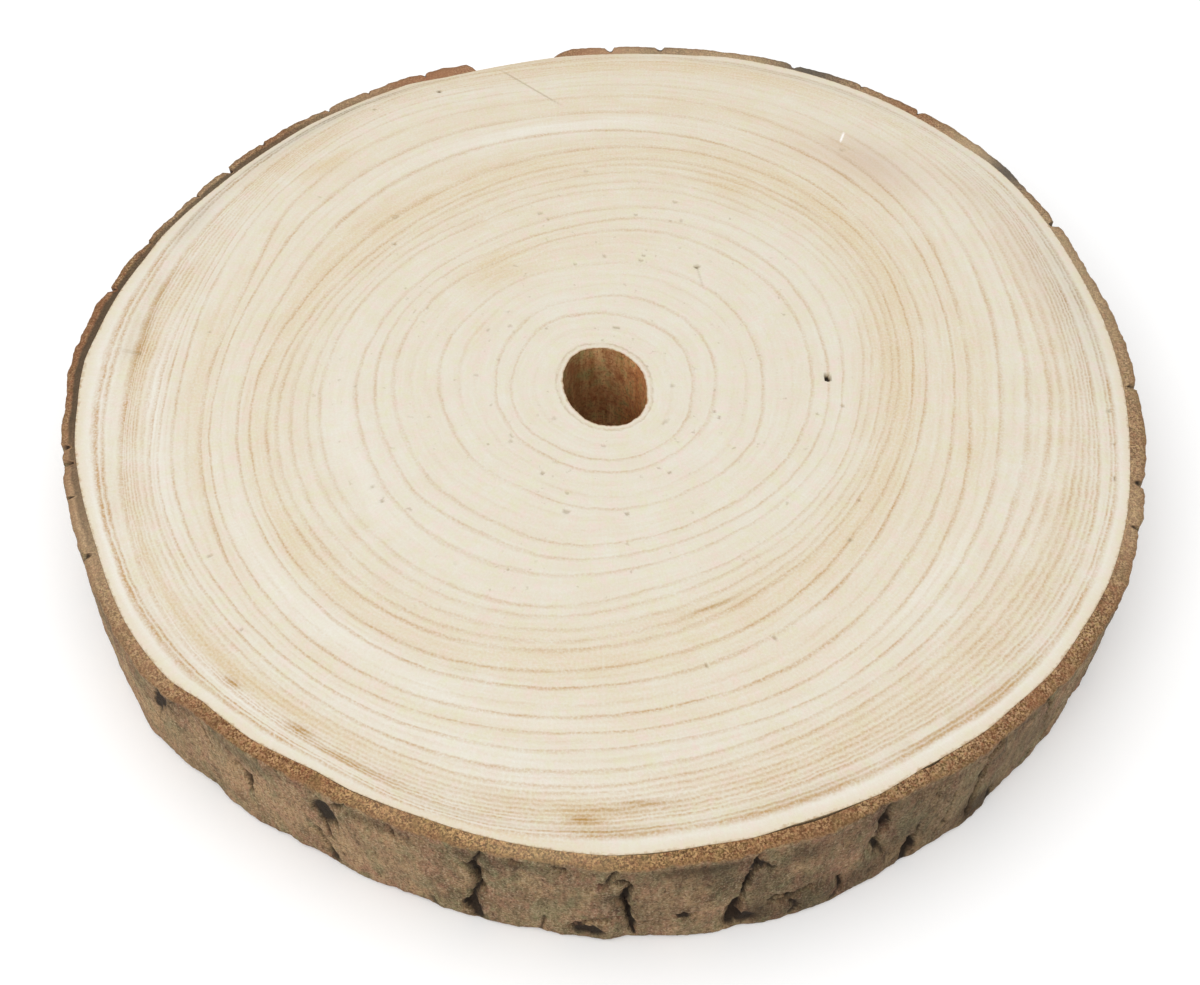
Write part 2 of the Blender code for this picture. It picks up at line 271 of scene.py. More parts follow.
# Small marks on the upper cut: angle, share of the way out in thousandths, half length along
# the growth line, half width across it and depth, in mm, and how dark it is
MARKS = (
    (4.9, 382, 1.35, 0.75, 1.6, 1), (61.8, 296, 1, 0.45, 0.5, 0.8), (82.5, 65, 1.1, 0.4, 0.3, 0.6),
    (112.8, 950, 0.7, 0.6, 0.4, 0.7), (121.8, 957, 0.51, 0.42, 0.3, 0.5), (79, 268, 0.68, 0.42, 0.3, 0.5),
    (78.6, 285, 0.51, 0.42, 0.3, 0.5), (90.7, 276, 0.59, 0.42, 0.3, 0.4), (100.5, 259, 0.42, 0.51, 0.3, 0.4),
    (83.2, 411, 0.51, 0.42, 0.3, 0.5), (72.3, 414, 0.59, 0.42, 0.3, 0.35), (75.3, 468, 0.68, 0.51, 0.3, 0.4),
    (94.2, 564, 0.77, 0.59, 0.2, 0.35), (105.7, 440, 0.77, 0.59, 0.3, 0.4),
    (104.4, 416, 0.51, 0.42, 0.2, 0.35), (137.7, 537, 0.51, 0.59, 0.3, 0.4),
    (132.6, 598, 0.94, 0.34, 0.2, 0.35), (216.2, 459, 0.51, 0.42, 0.3, 0.5),
    (211.7, 457, 0.51, 0.42, 0.2, 0.4), (243, 182, 0.51, 0.42, 0.3, 0.5), (258, 255, 0.94, 0.51, 0.3, 0.5),
    (277.9, 246, 0.59, 0.42, 0.3, 0.5), (299.6, 165, 0.5, 0.35, 0.3, 0.55),
    (341.3, 160, 0.59, 0.34, 0.3, 0.45), (344.4, 148, 0.51, 0.34, 0.3, 0.4),
    (355.2, 411, 0.59, 0.42, 0.3, 0.4), (320.4, 538, 0.6, 0.5, 0.3, 0.6), (329.6, 502, 0.42, 0.34, 0.3, 0.5),
    (296.9, 630, 0.42, 0.68, 0.2, 0.5), (285.5, 640, 0.34, 0.59, 0.2, 0.5),
    (211.6, 807, 0.42, 0.68, 0.3, 0.35), (223.6, 846, 0.42, 0.42, 0.2, 0.4),
    (170.4, 767, 0.34, 0.34, 0.2, 0.5), (138.4, 785, 0.34, 0.34, 0.2, 0.4), (347.4, 970, 0.8, 0.4, 0.3, 0.6),
    (352.5, 968, 0.51, 0.3, 0.2, 0.5), (357.6, 966, 0.6, 0.4, 0.3, 0.6), (308.3, 973, 0.42, 0.26, 0.2, 0.5),
    (3.2, 55, 0.68, 0.42, 0.2, 0.4), (323, 59, 1.3, 0.3, 0.2, 0.4), (221.2, 49, 0.59, 0.59, 0.2, 0.3),
    (269.7, 60, 0.59, 0.42, 0.2, 0.35), (200, 59, 0.77, 0.26, 0.2, 0.3), (173.8, 180, 0.51, 0.51, 0.2, 0.25),
    (139.2, 164, 0.68, 0.42, 0.2, 0.35), (134, 196, 0.68, 0.26, 0.2, 0.35), (147, 198, 0.59, 0.34, 0.2, 0.4),
    (219.4, 161, 0.68, 0.34, 0.2, 0.4), (216.6, 150, 0.77, 0.26, 0.2, 0.35),
    (175.6, 896, 0.6, 0.4, 0.2, 0.6), (54.9, 799, 1, 0.42, 0.2, 0.4),
)
# Scratches: angle and share of each end, half width and depth in mm, and how dark it is, or
# below nothing how pale
SCRATCHES = (
    ((96.6, 808), (104.0, 985), 0.28, 0.15, 0.5), ((55.0, 250), (61.5, 292), 0.25, 0.1, 0.3),
    ((56.0, 818), (56.6, 853), 0.32, 0.12, -0.75),
)
# Soft stains and tan bands that only cover part of a growth ring, by what they do: angle, share
# in thousandths, half its angle, half its width in thousandths, and strength in hundredths
STAINS = {
    "tan": (
        (330, 540, 45, 80, 32), (10, 520, 22, 60, 36), (355, 700, 30, 60, 20), (145, 620, 32, 75, 35),
        (110, 590, 25, 60, 25), (122, 340, 12, 30, 70), (118, 290, 16, 40, 25), (178, 765, 22, 32, 30),
        (175, 880, 16, 18, 50), (50, 640, 28, 70, 40), (50, 800, 8, 55, 35), (66, 560, 6, 40, 50),
        (133, 860, 5, 22, 80), (135, 940, 10, 30, 50), (80, 960, 26, 30, 60), (315, 880, 40, 60, 30),
        (290, 520, 12, 25, 30), (270, 600, 20, 40, 20), (215, 655, 26, 28, 25), (15, 895, 20, 35, 12),
        (152, 215, 9, 16, 45), (125, 290, 8, 25, 40), (105, 985, 25, 18, 60), (224, 918, 26, 18, 80),
        (268, 935, 9, 30, 50), (260, 992, 9, 7, 70), (292, 905, 14, 30, 25), (30, 590, 30, 60, 30),
        (105, 420, 45, 230, 22), (80, 800, 45, 200, 20), (275, 660, 50, 60, 15),
    ),
    "ochre": (
        (228.5, 936, 1.3, 7, 100), (238.0, 944, 2.0, 9, 100), (268.5, 945, 1.8, 9, 100),
        (274.5, 911, 3.0, 6, 100), (271, 925, 4, 7, 60), (270, 968, 5, 8, 80), (166, 915, 6, 6, 60),
        (174, 897, 4, 5, 75), (170, 905, 4, 6, 60), (225, 918, 14, 12, 15), (290, 514, 6, 6, 75),
        (200, 957, 5, 7, 15), (222, 962, 9, 7, 25), (305, 960, 4, 6, 80), (290, 953, 9, 8, 50),
        (53, 587, 4, 7, 25), (52, 725, 6, 6, 30), (315, 962, 6, 5, 30), (245, 955, 6, 7, 70),
        (257, 972, 8, 6, 60), (56, 812, 2.5, 6, 30), (104, 1000, 22, 5, 90), (262, 930, 12, 14, 20),
        (205, 775, 12, 8, 25), (248, 690, 10, 5, 30), (315, 960, 10, 8, 40), (272, 958, 7, 6, 60),
    ),
    "rosy": (
        (50, 800, 9, 70, 70), (58, 760, 6, 50, 40), (25, 905, 14, 40, 40),
    ),
    "grey": (
        (18, 935, 16, 50, 35), (38, 925, 8, 50, 20), (50, 805, 7, 55, 50), (130, 990, 20, 10, 100),
        (152, 975, 12, 8, 70), (18, 972, 18, 12, 50), (60, 985, 30, 8, 60),
    ),
    "fresh": (
        (203, 945, 34, 12, 100), (226, 951, 13, 6, 100), (200, 982, 40, 10, 70), (300, 981, 40, 10, 50),
        (345, 985, 20, 9, 30), (185, 845, 20, 20, 80), (225, 735, 25, 28, 60), (100, 735, 25, 25, 70),
        (250, 845, 20, 25, 40), (320, 720, 22, 20, 50), (200, 470, 30, 30, 40), (255, 760, 20, 15, 50),
        (262, 885, 22, 25, 40), (340, 830, 20, 20, 30),
    ),
    "clear": (
        (226, 951, 13, 6, 60), (190, 900, 60, 130, 35), (270, 800, 50, 200, 35), (15, 930, 22, 70, 50),
        (130, 985, 22, 15, 60), (320, 600, 40, 90, 25), (210, 965, 45, 14, 100), (310, 970, 40, 12, 50),
    ),
    "faded": (
        (60, 880, 30, 110, 60), (55, 480, 45, 70, 45), (95, 280, 50, 90, 45), (85, 920, 30, 70, 50),
        (115, 850, 40, 90, 55), (105, 590, 35, 50, 50), (92, 780, 28, 50, 40), (222, 918, 20, 26, 80),
        (250, 925, 16, 25, 30), (275, 800, 30, 50, 30), (275, 620, 25, 60, 25),
    ),
}
# The mesh is finer this many mm round a mark or a scratch, and up to this many thousandths past
# an ochre stain of this strength or more. Its edges there have FINER cuts
MARK_MARGIN, SCRATCH_MARGIN = 2.4, 2.0
CRISP_STAIN, STAIN_MARGIN = 56, 8
FINER = 3


def on_face(angle, share):
    """The place on a saw cut at an angle and a share, in thousandths, of the way out."""
    near, far = edge_at(angle, hole_edge), edge_at(angle, packed_edge)
    return place(angle, near + (far - near) * share / 1000, 0.0)[:2]


def share_along(points, start, end):
    """How far along a line from start to end points lie, and their distance from it in mm."""
    line = end - start
    along = np.clip((points - start) @ line / (line @ line), 0, 1)
    return along, np.hypot(*(points - start - along[..., None] * line).T).T / MM


upper_centres = (upper_rows[:-1] + np.roll(upper_rows[1:], -1, axis=1))[..., :2] / 2
near_mark = np.zeros(upper_centres.shape[:2], bool)
for angle, share, along, across, depth, dark in MARKS:
    near_mark |= np.hypot(*(upper_centres - on_face(angle, share)).T).T < (along + MARK_MARGIN) * MM
for start, end, across, depth, dark in SCRATCHES:
    near_mark |= share_along(upper_centres, on_face(*start), on_face(*end))[1] < SCRATCH_MARGIN
centre_turns = wood_turns + 180 / WOOD_COLUMNS
centre_shares = (face_shares[:-1] + face_shares[1:]) * 500
for angle, share, half_turn, half_width, percent in STAINS["ochre"]:
    if percent >= CRISP_STAIN:
        aside = turn_from(angle, centre_turns) / half_turn
        outward = (centre_shares - share) / (half_width + STAIN_MARGIN)
        near_mark |= aside**2 + outward**2 < 1.7
shaped = bmesh.new()
shaped.from_mesh(wood_mesh)
shaped.faces.ensure_lookup_table()
cut_finer = {edge for index in np.flatnonzero(near_mark) for edge in shaped.faces[index].edges}
cut_finer = sorted(cut_finer, key=lambda edge: edge.index)
bmesh.ops.subdivide_edges(shaped, edges=cut_finer, cuts=FINER, use_grid_fill=True)
shaped.to_mesh(wood_mesh)
shaped.free()

spots = np.array([vertex.co for vertex in wood_mesh.vertices])
on_top = spots[:, 2] > THICKNESS - 0.01 * MM
marked, sunk = np.zeros(len(spots)), np.zeros(len(spots))
for angle, share, along, across, depth, dark in MARKS:
    offset = (spots[:, :2] - on_face(angle, share)) / MM
    turn = math.radians(angle)
    outward = offset @ (math.cos(turn), math.sin(turn))
    sideways = offset @ (-math.sin(turn), math.cos(turn))
    inside = np.clip(1.2 - np.hypot(sideways / along, outward / across), 0, 0.5) * 2 * on_top
    marked = np.maximum(marked, dark * inside)
    sunk = np.maximum(sunk, depth * inside)
for start, end, across, depth, dark in SCRATCHES:
    along, aside = share_along(spots[:, :2], on_face(*start), on_face(*end))
    inside = np.clip(1.3 - aside / across, 0, 1) * on_top * np.clip(6 * along * (1.05 - along), 0, 1)
    marked = np.where(np.abs(dark * inside) > np.abs(marked), dark * inside, marked)
    sunk = np.maximum(sunk, depth * inside)
spots[:, 2] -= sunk * MM
wood_mesh.vertices.foreach_set("co", spots.astype(np.float32).ravel())
store(wood_mesh, "marked", marked)

from_pith = (spots[:, :2] - PITH) / MM
spot_turns = np.degrees(np.arctan2(from_pith[:, 1], from_pith[:, 0])) % 360
near, far = edge_at(spot_turns, hole_edge), edge_at(spot_turns, packed_edge)
spot_shares = (np.hypot(from_pith[:, 0], from_pith[:, 1]) - near) / (far - near) * 1000
for kind, stains_there in STAINS.items():
    clean = np.ones(len(spots))
    for angle, share, half_turn, half_width, percent in stains_there:
        aside = turn_from(angle, spot_turns) / half_turn
        outward = (spot_shares - share) / half_width
        clean *= 1 - percent / 100 * np.exp(-1.3 * (aside**2 + outward**2))
    store(wood_mesh, kind, 1 - clean)


def linear(hex_colour):
    """An sRGB hex colour as linear red, green, blue and alpha."""
    channels = [int(hex_colour[start:start + 2], 16) / 255 for start in (1, 3, 5)]
    return (*[c / 12.92 if c <= 0.04045 else ((c + 0.055) / 1.055) ** 2.4 for c in channels], 1.0)


def add_node(material, kind, inputs=(), stops=(), output=0, **settings):
    """Adds a node with its settings, links and stops of grey, and returns one of its outputs."""
    made = material.node_tree.nodes.new("ShaderNode" + kind)
    for name, value in settings.items():
        setattr(made, name, value)
    for name, value in dict(inputs).items():
        if isinstance(value, bpy.types.NodeSocket):
            material.node_tree.links.new(value, made.inputs[name])
        else:
            made.inputs[name].default_value = value
    for index, (position, grey) in enumerate(stops):
        while len(made.color_ramp.elements) <= index:
            made.color_ramp.elements.new(1.0)
        made.color_ramp.elements[index].position = position
        made.color_ramp.elements[index].color = (grey, grey, grey, 1.0)
    return made.outputs[output]


def new_finish(name, roughness, specular):
    """A matt material of one roughness, and its surface position in mm."""
    made = bpy.data.materials.new(name)
    made.use_nodes = True
    shader = made.node_tree.nodes["Principled BSDF"]
    shader.inputs["Roughness"].default_value = roughness
    shader.inputs["Specular IOR Level"].default_value = specular
    position = add_node(made, "TexCoord", output="Object")
    position = add_node(made, "VectorMath", {0: position, "Scale": 1 / MM}, operation="SCALE")
    return made, position


def varied(material, amount, *patterns):
    """An amount varied by patterns, each given as the map from what it reads to a factor."""
    for pattern in patterns:
        factor = add_node(material, "MapRange", pattern)
        amount = add_node(material, "Math", {0: amount, 1: factor}, operation="MULTIPLY")
    return amount


def coated(material, colour, *coats):
    """A colour under coats: what shows each, where it starts and is full, how much, and tone."""
    for shown_by, start, full, most, tone in coats:
        amount = add_node(material, "MapRange", {0: shown_by, 1: start, 2: full, 4: most})
        tone = linear(tone) if isinstance(tone, str) else tone
        colour = add_node(material, "MixRGB", {0: amount, 1: colour, 2: tone})
    return colour


def dress(material, colour, relief, strength, depth):
    """Gives a finish its colour and a fine relief of a depth in mm."""
    shader = material.node_tree.nodes["Principled BSDF"]
    bump = add_node(material, "Bump", {"Strength": strength, "Distance": depth * MM, "Height": relief})
    material.node_tree.links.new(colour, shader.inputs["Base Color"])
    material.node_tree.links.new(bump, shader.inputs["Normal"])


# Sawn end grain of paulownia, sanded once and left bare: almost white, matt, with thin
# pinkish-tan lines of open pores at each year's start, and hair-fine rays across them
wood, position = new_finish("sanded_end_grain", 0.72, 0.3)
stain = {kind: add_node(wood, "Attribute", attribute_name=kind, output="Fac") for kind in STAINS}
marks = add_node(wood, "Attribute", attribute_name="marked", output="Fac")
growth = add_node(wood, "Attribute", attribute_name="growth", output="Fac")

# Pores are 0.2 to 0.3 mm wide in the real wood, and drawn twice that so that they show. The
# flecks are the first, thin-walled wood round the pith, which crumbles under the saw
wander, pores, clouds, ragged, blush, green, flecks = (
    add_node(
        wood,
        "TexNoise",
        {"Vector": position, "Scale": 1 / feature, "Detail": detail, "Roughness": roughness, **seed},
        noise_dimensions="4D" if seed else "3D",
    )
    for seed, feature, detail, roughness in (
        ({}, 2.5, 3.0, 0.5),
        ({}, 0.6, 2.0, 0.6),
        ({}, 9.0, 4.0, 0.6),
        ({}, 1.2, 4.0, 0.75),
        ({"W": 4.0}, 3.0, 5.0, 0.75),
        ({"W": 9.0}, 2.4, 5.0, 0.75),
        ({"W": 2.0}, 1.6, 2.0, 0.5),
    )
)
wander = add_node(wood, "Math", {0: wander, 1: 0.6, 2: -0.3}, operation="MULTIPLY_ADD")
growth = add_node(wood, "Math", {0: wander, 1: growth}, operation="ADD")

# Rays run straight out from the pith, and each year's growth leaves streaks along the ring
centred = add_node(wood, "VectorMath", {0: position, 1: (*(-PITH / MM), 0.0)}, operation="ADD")
centred = add_node(wood, "VectorMath", {0: centred, 1: (1.0, 1.0, 0.0)}, operation="MULTIPLY")
direction = add_node(wood, "VectorMath", {0: centred}, operation="NORMALIZE")
sweep = add_node(wood, "VectorMath", {0: direction, "Scale": 150.0}, operation="SCALE")
outward = add_node(wood, "VectorMath", {0: centred}, operation="LENGTH", output="Value")
outward = add_node(wood, "Math", {0: outward, 1: 0.09}, operation="MULTIPLY")
lift = add_node(wood, "CombineXYZ", {"Z": outward})
ray_place = add_node(wood, "VectorMath", {0: sweep, 1: lift}, operation="ADD")
rays = add_node(wood, "TexNoise", {"Vector": ray_place, "Scale": 1 / 0.9, "Detail": 3.0, "Roughness": 0.7})
ring_place = add_node(wood, "VectorMath", {0: centred, "Scale": 1 / 14.0}, operation="SCALE")
lift = add_node(wood, "CombineXYZ", {"Z": growth})
ring_place = add_node(wood, "VectorMath", {0: ring_place, 1: lift}, operation="ADD")
streaks = add_node(wood, "TexNoise", {"Vector": ring_place, "Scale": 1.0, "Detail": 2.0, "Roughness": 0.6})
pores, clouds, rays, streaks = (
    add_node(wood, "MapRange", {0: pattern, 1: low, 2: 1 - low})
    for pattern, low in ((pores, 0.33), (clouds, 0.3), (rays, 0.3), (streaks, 0.3))
)

shown_lines = [(at_mm, line[0]) for at_mm, line in zip(line_places[1:], GROWTH_LINES)]
for index, part, strength in FAINT_LINES:
    shown_lines.append((line_places[index] + (line_places[index + 1] - line_places[index]) * part, strength))
# The last growth line is a double one
last_line = line_places[-2]
shown_lines = sorted(line for line in shown_lines if line[0] != last_line)
shown_lines += [(last_line - 0.4, 0.9), (last_line + 0.45, 1.0)]
# A ramp holds 32 stops at most, so each takes nine lines of three stops, with a margin in mm
LINES_PER_RAMP, RAMP_MARGIN = 9, 3.0
pore_lines = 0.0
for first in range(0, len(shown_lines), LINES_PER_RAMP):
    lines = shown_lines[first:first + LINES_PER_RAMP]
    low, high = lines[0][0] - RAMP_MARGIN, lines[-1][0] + RAMP_MARGIN
    places_mm = [low] + [at_mm for at_mm, _ in lines] + [high]
    profile = [(low, 0.0)]
    for (at_mm, strength), before_mm, next_mm in zip(lines, places_mm, places_mm[2:]):
        profile.append((at_mm - min(LINE_RISE, 0.4 * (at_mm - before_mm)), 0.0))
        profile.append((at_mm, strength))
        profile.append((at_mm + min(LINE_FALL, 0.58 * (next_mm - at_mm)), 0.0))
    stops = [((at_mm - low) / (high - low), strength) for at_mm, strength in profile]
    along = add_node(wood, "MapRange", {0: growth, 1: low, 2: high})
    ramp = add_node(wood, "ValToRGB", {0: along}, stops)
    pore_lines = add_node(wood, "Math", {0: pore_lines, 1: ramp}, operation="ADD")

stops = [(0.0, 0.05)]
for at_mm, line in zip(line_places[1:], GROWTH_LINES):
    stops.append(((at_mm - MEAN_HOLE) / (MEAN_EDGE - MEAN_HOLE), line[1]))
along = add_node(wood, "MapRange", {0: growth, 1: MEAN_HOLE, 2: MEAN_EDGE})
band_tan = add_node(wood, "ValToRGB", {0: along}, stops)
tan_amount = add_node(wood, "Math", {0: band_tan, 1: 0.8, 2: stain["tan"]}, operation="MULTIPLY_ADD")
tan_amount = varied(wood, tan_amount, {0: streaks, 3: 0.55, 4: 1.15}, {0: pores, 3: 0.55, 4: 1.4})
line_amount = varied(
    wood,
    pore_lines,
    {0: stain["clear"], 3: 0.56, 4: 0.92},
    {0: stain["faded"], 3: 1.0, 4: 0.0},
    {0: pores, 3: 0.3, 4: 1.35},
    {0: clouds, 3: 0.7, 4: 1.3},
    {0: streaks, 3: 0.62, 4: 1.38},
)
line_colour = add_node(wood, "MixRGB", {0: stain["grey"], 1: linear("#B9956A"), 2: linear("#7F7463")})
# An ochre stain has run along the open pores, so it is strongest on the growth lines
beside_line = add_node(wood, "Math", {0: pore_lines, 1: 0.5}, operation="POWER")
ochre_amount = varied(wood, stain["ochre"], {0: beside_line, 3: 0.4, 4: 1.4}, {0: pores, 3: 0.55, 4: 1.1})
young, cloudy = {0: growth, 1: 78, 2: 60}, {0: clouds, 1: 0.35, 2: 0.6}
flecks = varied(wood, 0.38, {0: flecks, 1: 0.66, 2: 0.74}, young, cloudy)
# A thin, broken line runs 1.5 mm outside the hole
first_ring = add_node(wood, "Math", {0: growth, 1: -MEAN_HOLE - 1.5}, operation="ADD")
first_ring = add_node(wood, "Math", {0: first_ring}, operation="ABSOLUTE")
first_ring = varied(wood, 0.36, {0: first_ring, 1: 0.35, 2: 0.1}, {0: blush, 1: 0.4, 2: 0.56})
ragged = add_node(wood, "Math", {0: ragged, 1: 1.8, 2: growth}, operation="MULTIPLY_ADD")
colour = coated(
    wood,
    linear("#DCDACE"),
    (clouds, 0, 1, 1, "#DAD4C4"),
    (blush, 0.48, 0.68, 0.7, "#E4CDC8"),
    (green, 0.48, 0.68, 0.7, "#D6D8B6"),
    (tan_amount, 0, 1, 1, "#D2BE98"),
    (stain["fresh"], 0, 1, 1, "#E4E2DA"),
    (stain["grey"], 0, 1, 0.4, "#A8A292"),
    (stain["rosy"], 0, 1, 0.6, "#CDB3A6"),
    (streaks, 0, 1, 0.14, "#C9AF90"),
    (rays, 0, 1, 0.12, "#CDB698"),
    (line_amount, 0, 1, 1, line_colour),
    (ochre_amount, 0, 1, 1, "#A8803F"),
    (pores, 0, 1, 0.1, "#C4AB8A"),
    (flecks, 0, 1, 1, "#8D7A55"),
    (growth, MEAN_HOLE + 0.45, MEAN_HOLE + 0.1, 0.6, "#A88050"),
    (first_ring, 0, 1, 1, "#A08C68"),
    (growth, MEAN_EDGE - 1.7, MEAN_EDGE, 0.4, "#D2BE9C"),
    (ragged, MEAN_EDGE + 0.6, MEAN_EDGE + 1.1, 0.85, "#A98A62"),
    (marks, 0, 0.85, 0.8, "#8E7A56"),
    (marks, 0.55, 0.9, 1, "#2A1E14"),
    (marks, 0, -0.8, 1, "#FAF8F4"),
)
relief = add_node(wood, "Math", {0: rays, 1: 0.5, 2: pores}, operation="MULTIPLY_ADD")
dress(wood, colour, relief, 0.25, 0.12)

# The outside of the bare wood where bark has flaked off: pale olive-tan bast, in fine
# upright fibres, matt
bast, position = new_finish("bare_bast", 0.8, 0.3)
fibres = add_node(bast, "VectorMath", {0: position, 1: (1.0, 1.0, 0.06)}, operation="MULTIPLY")
fibres = add_node(bast, "TexNoise", {"Vector": fibres, "Scale": 1 / 0.7, "Detail": 4.0, "Roughness": 0.65})
fibres = add_node(bast, "MapRange", {0: fibres, 1: 0.3, 2: 0.7})
blots = add_node(bast, "TexNoise", {"Vector": position, "Scale": 1 / 6.0, "Detail": 3.0})
colour = coated(bast, linear("#AC9572"), (fibres, 0, 1, 1, "#D6C3A0"), (blots, 0.45, 0.7, 0.7, "#8C7858"))
dress(bast, colour, fibres, 0.5, 0.3)

# The wall of the pith hole, where the pith has rotted out: rusty brown with paler and darker
# upright streaks, dull, with painted light making it lighter and redder on the right and painted shade
# making it darker on the left
pith_wall, position = new_finish("weathered_pith_wall", 0.85, 0.25)
stringy = add_node(pith_wall, "VectorMath", {0: position, 1: (1.0, 1.0, 0.12)}, operation="MULTIPLY")
streaks, blots, grit = (
    add_node(
        pith_wall,
        "TexNoise",
        {"Vector": where, "Scale": 1 / feature, "Detail": detail, "Roughness": rough},
    )
    for where, feature, detail, rough in (
        (stringy, 1.6, 4.0, 0.65),
        (position, 3.0, 4.0, 0.7),
        (position, 0.7, 3.0, 0.7),
    )
)
streaks = add_node(pith_wall, "MapRange", {0: streaks, 1: 0.32, 2: 0.68})
east = add_node(pith_wall, "SeparateXYZ", {"Vector": position}, output="X")
colour = coated(
    pith_wall,
    linear("#9C7846"),
    (streaks, 0, 1, 1, "#DCB480"),
    (east, 2, 8, 0.5, "#E29053"),
    (blots, 0.45, 0.65, 0.7, "#A05C38"),
    (blots, 0.48, 0.34, 0.75, "#93925C"),
    (east, -2, -9, 0.4, "#6E5A38"),
    (grit, 0.48, 0.64, 0.6, "#6E4526"),
)
relief = add_node(pith_wall, "Math", {0: grit, 1: 0.6, 2: streaks}, operation="MULTIPLY_ADD")
dress(pith_wall, colour, relief, 0.7, 0.5)

for finish in (wood, bast, pith_wall):
    wood_mesh.materials.append(finish)
wood_mesh.shade_smooth()
wood_mesh.set_sharp_from_angle(angle=math.radians(40))
sawn_disc = bpy.data.objects.new("sawn_disc", wood_mesh)
bpy.context.scene.collection.objects.link(sawn_disc)
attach(sawn_disc, "root")
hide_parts("wood")


# The ring of bark: dry, corky, about 3.5 mm thick, sawn off level with the wood on both
# faces. It is split into low plates by the tree's growth, still clings to the wood, and a
# flake of it has broken away at the back
TOP = THICKNESS / MM
# Mean distance from the pith to the bark's skin, how close the bark comes to the wood, and how
# thin it gets in a crack, where it has lifted off the wood and at its two ends, in mm
MEAN_WALL, CLOSEST = 128.0, 0.04
THINNEST, THINNEST_LIFTED, THINNEST_END = 0.5, 0.1, 0.12
# Columns round the ring, which stand closer together at the front, between these angles, and
# rows on its upper cut, its lower cut, its inside and its wall
BARK_COLUMNS, FRONT, FRONT_DENSITY = 1500, (205, 345), 1.6
CUT_ROWS, LOWER_CUT_ROWS, INNER_ROWS, WALL_ROWS = 9, 7, 3, 38
# The bark's ends beside the missing flake, as angles at the upper and at the lower cut, and
# over how many mm it thins out there
LEFT_END, LEFT_TAPER = (107.0, 105.0), 2.0
RIGHT_END, RIGHT_TAPER = (457.0, 454.5), 5.5

# The bark's thickness at the upper cut and at the lower one: angle and mm
UPPER_BARK = (
    (0, 3.8), (10, 3.4), (22, 2.8), (32, 2.6), (40, 3.0), (46, 4.1), (51, 4.0), (55, 2.9), (60, 3.6),
    (65, 3.0), (70, 3.3), (75, 2.8), (80, 3.6), (86, 4.5), (91, 4.3), (97, 4.5), (107, 4.4), (111, 5.0),
    (115, 3.7), (120, 3.8), (130, 3.2), (136, 4.2), (141, 3.9), (147, 3.2), (155, 2.7), (161, 3.3),
    (168, 3.9), (175, 3.7), (181, 2.8), (190, 3.2), (205, 3.4), (216, 2.9), (225, 3.0), (233, 2.7),
    (240, 3.1), (250, 3.4), (260, 2.9), (268, 2.7), (275, 3.0), (282, 3.1), (290, 3.6), (297, 2.4),
    (305, 3.3), (325, 3.6), (340, 3.4),
)
LOWER_BARK = (
    (0, 3.8), (30, 3.0), (48, 3.8), (60, 2.9), (75, 2.8), (90, 3.8), (109, 4.5), (120, 3.4), (137, 3.9),
    (153, 2.8), (170, 3.8), (181, 3.2), (195, 5.0), (200, 5.0), (204, 4.6), (213, 3.6), (219, 3.7),
    (226, 2.7), (231, 3.5), (238, 3.1), (244, 3.6), (250, 2.9), (255, 3.5), (260, 3.3), (266, 3.1),
    (272, 3.4), (275, 3.5), (280, 4.8), (283, 4.2), (289, 5.1), (294, 4.3), (299, 3.4), (302, 4.3),
    (308, 4.2), (312, 3.4), (316, 2.5), (319, 2.6), (323, 3.2), (328, 2.7), (331, 3.5), (334, 3.1),
    (338, 4.2), (342, 4.0),
)
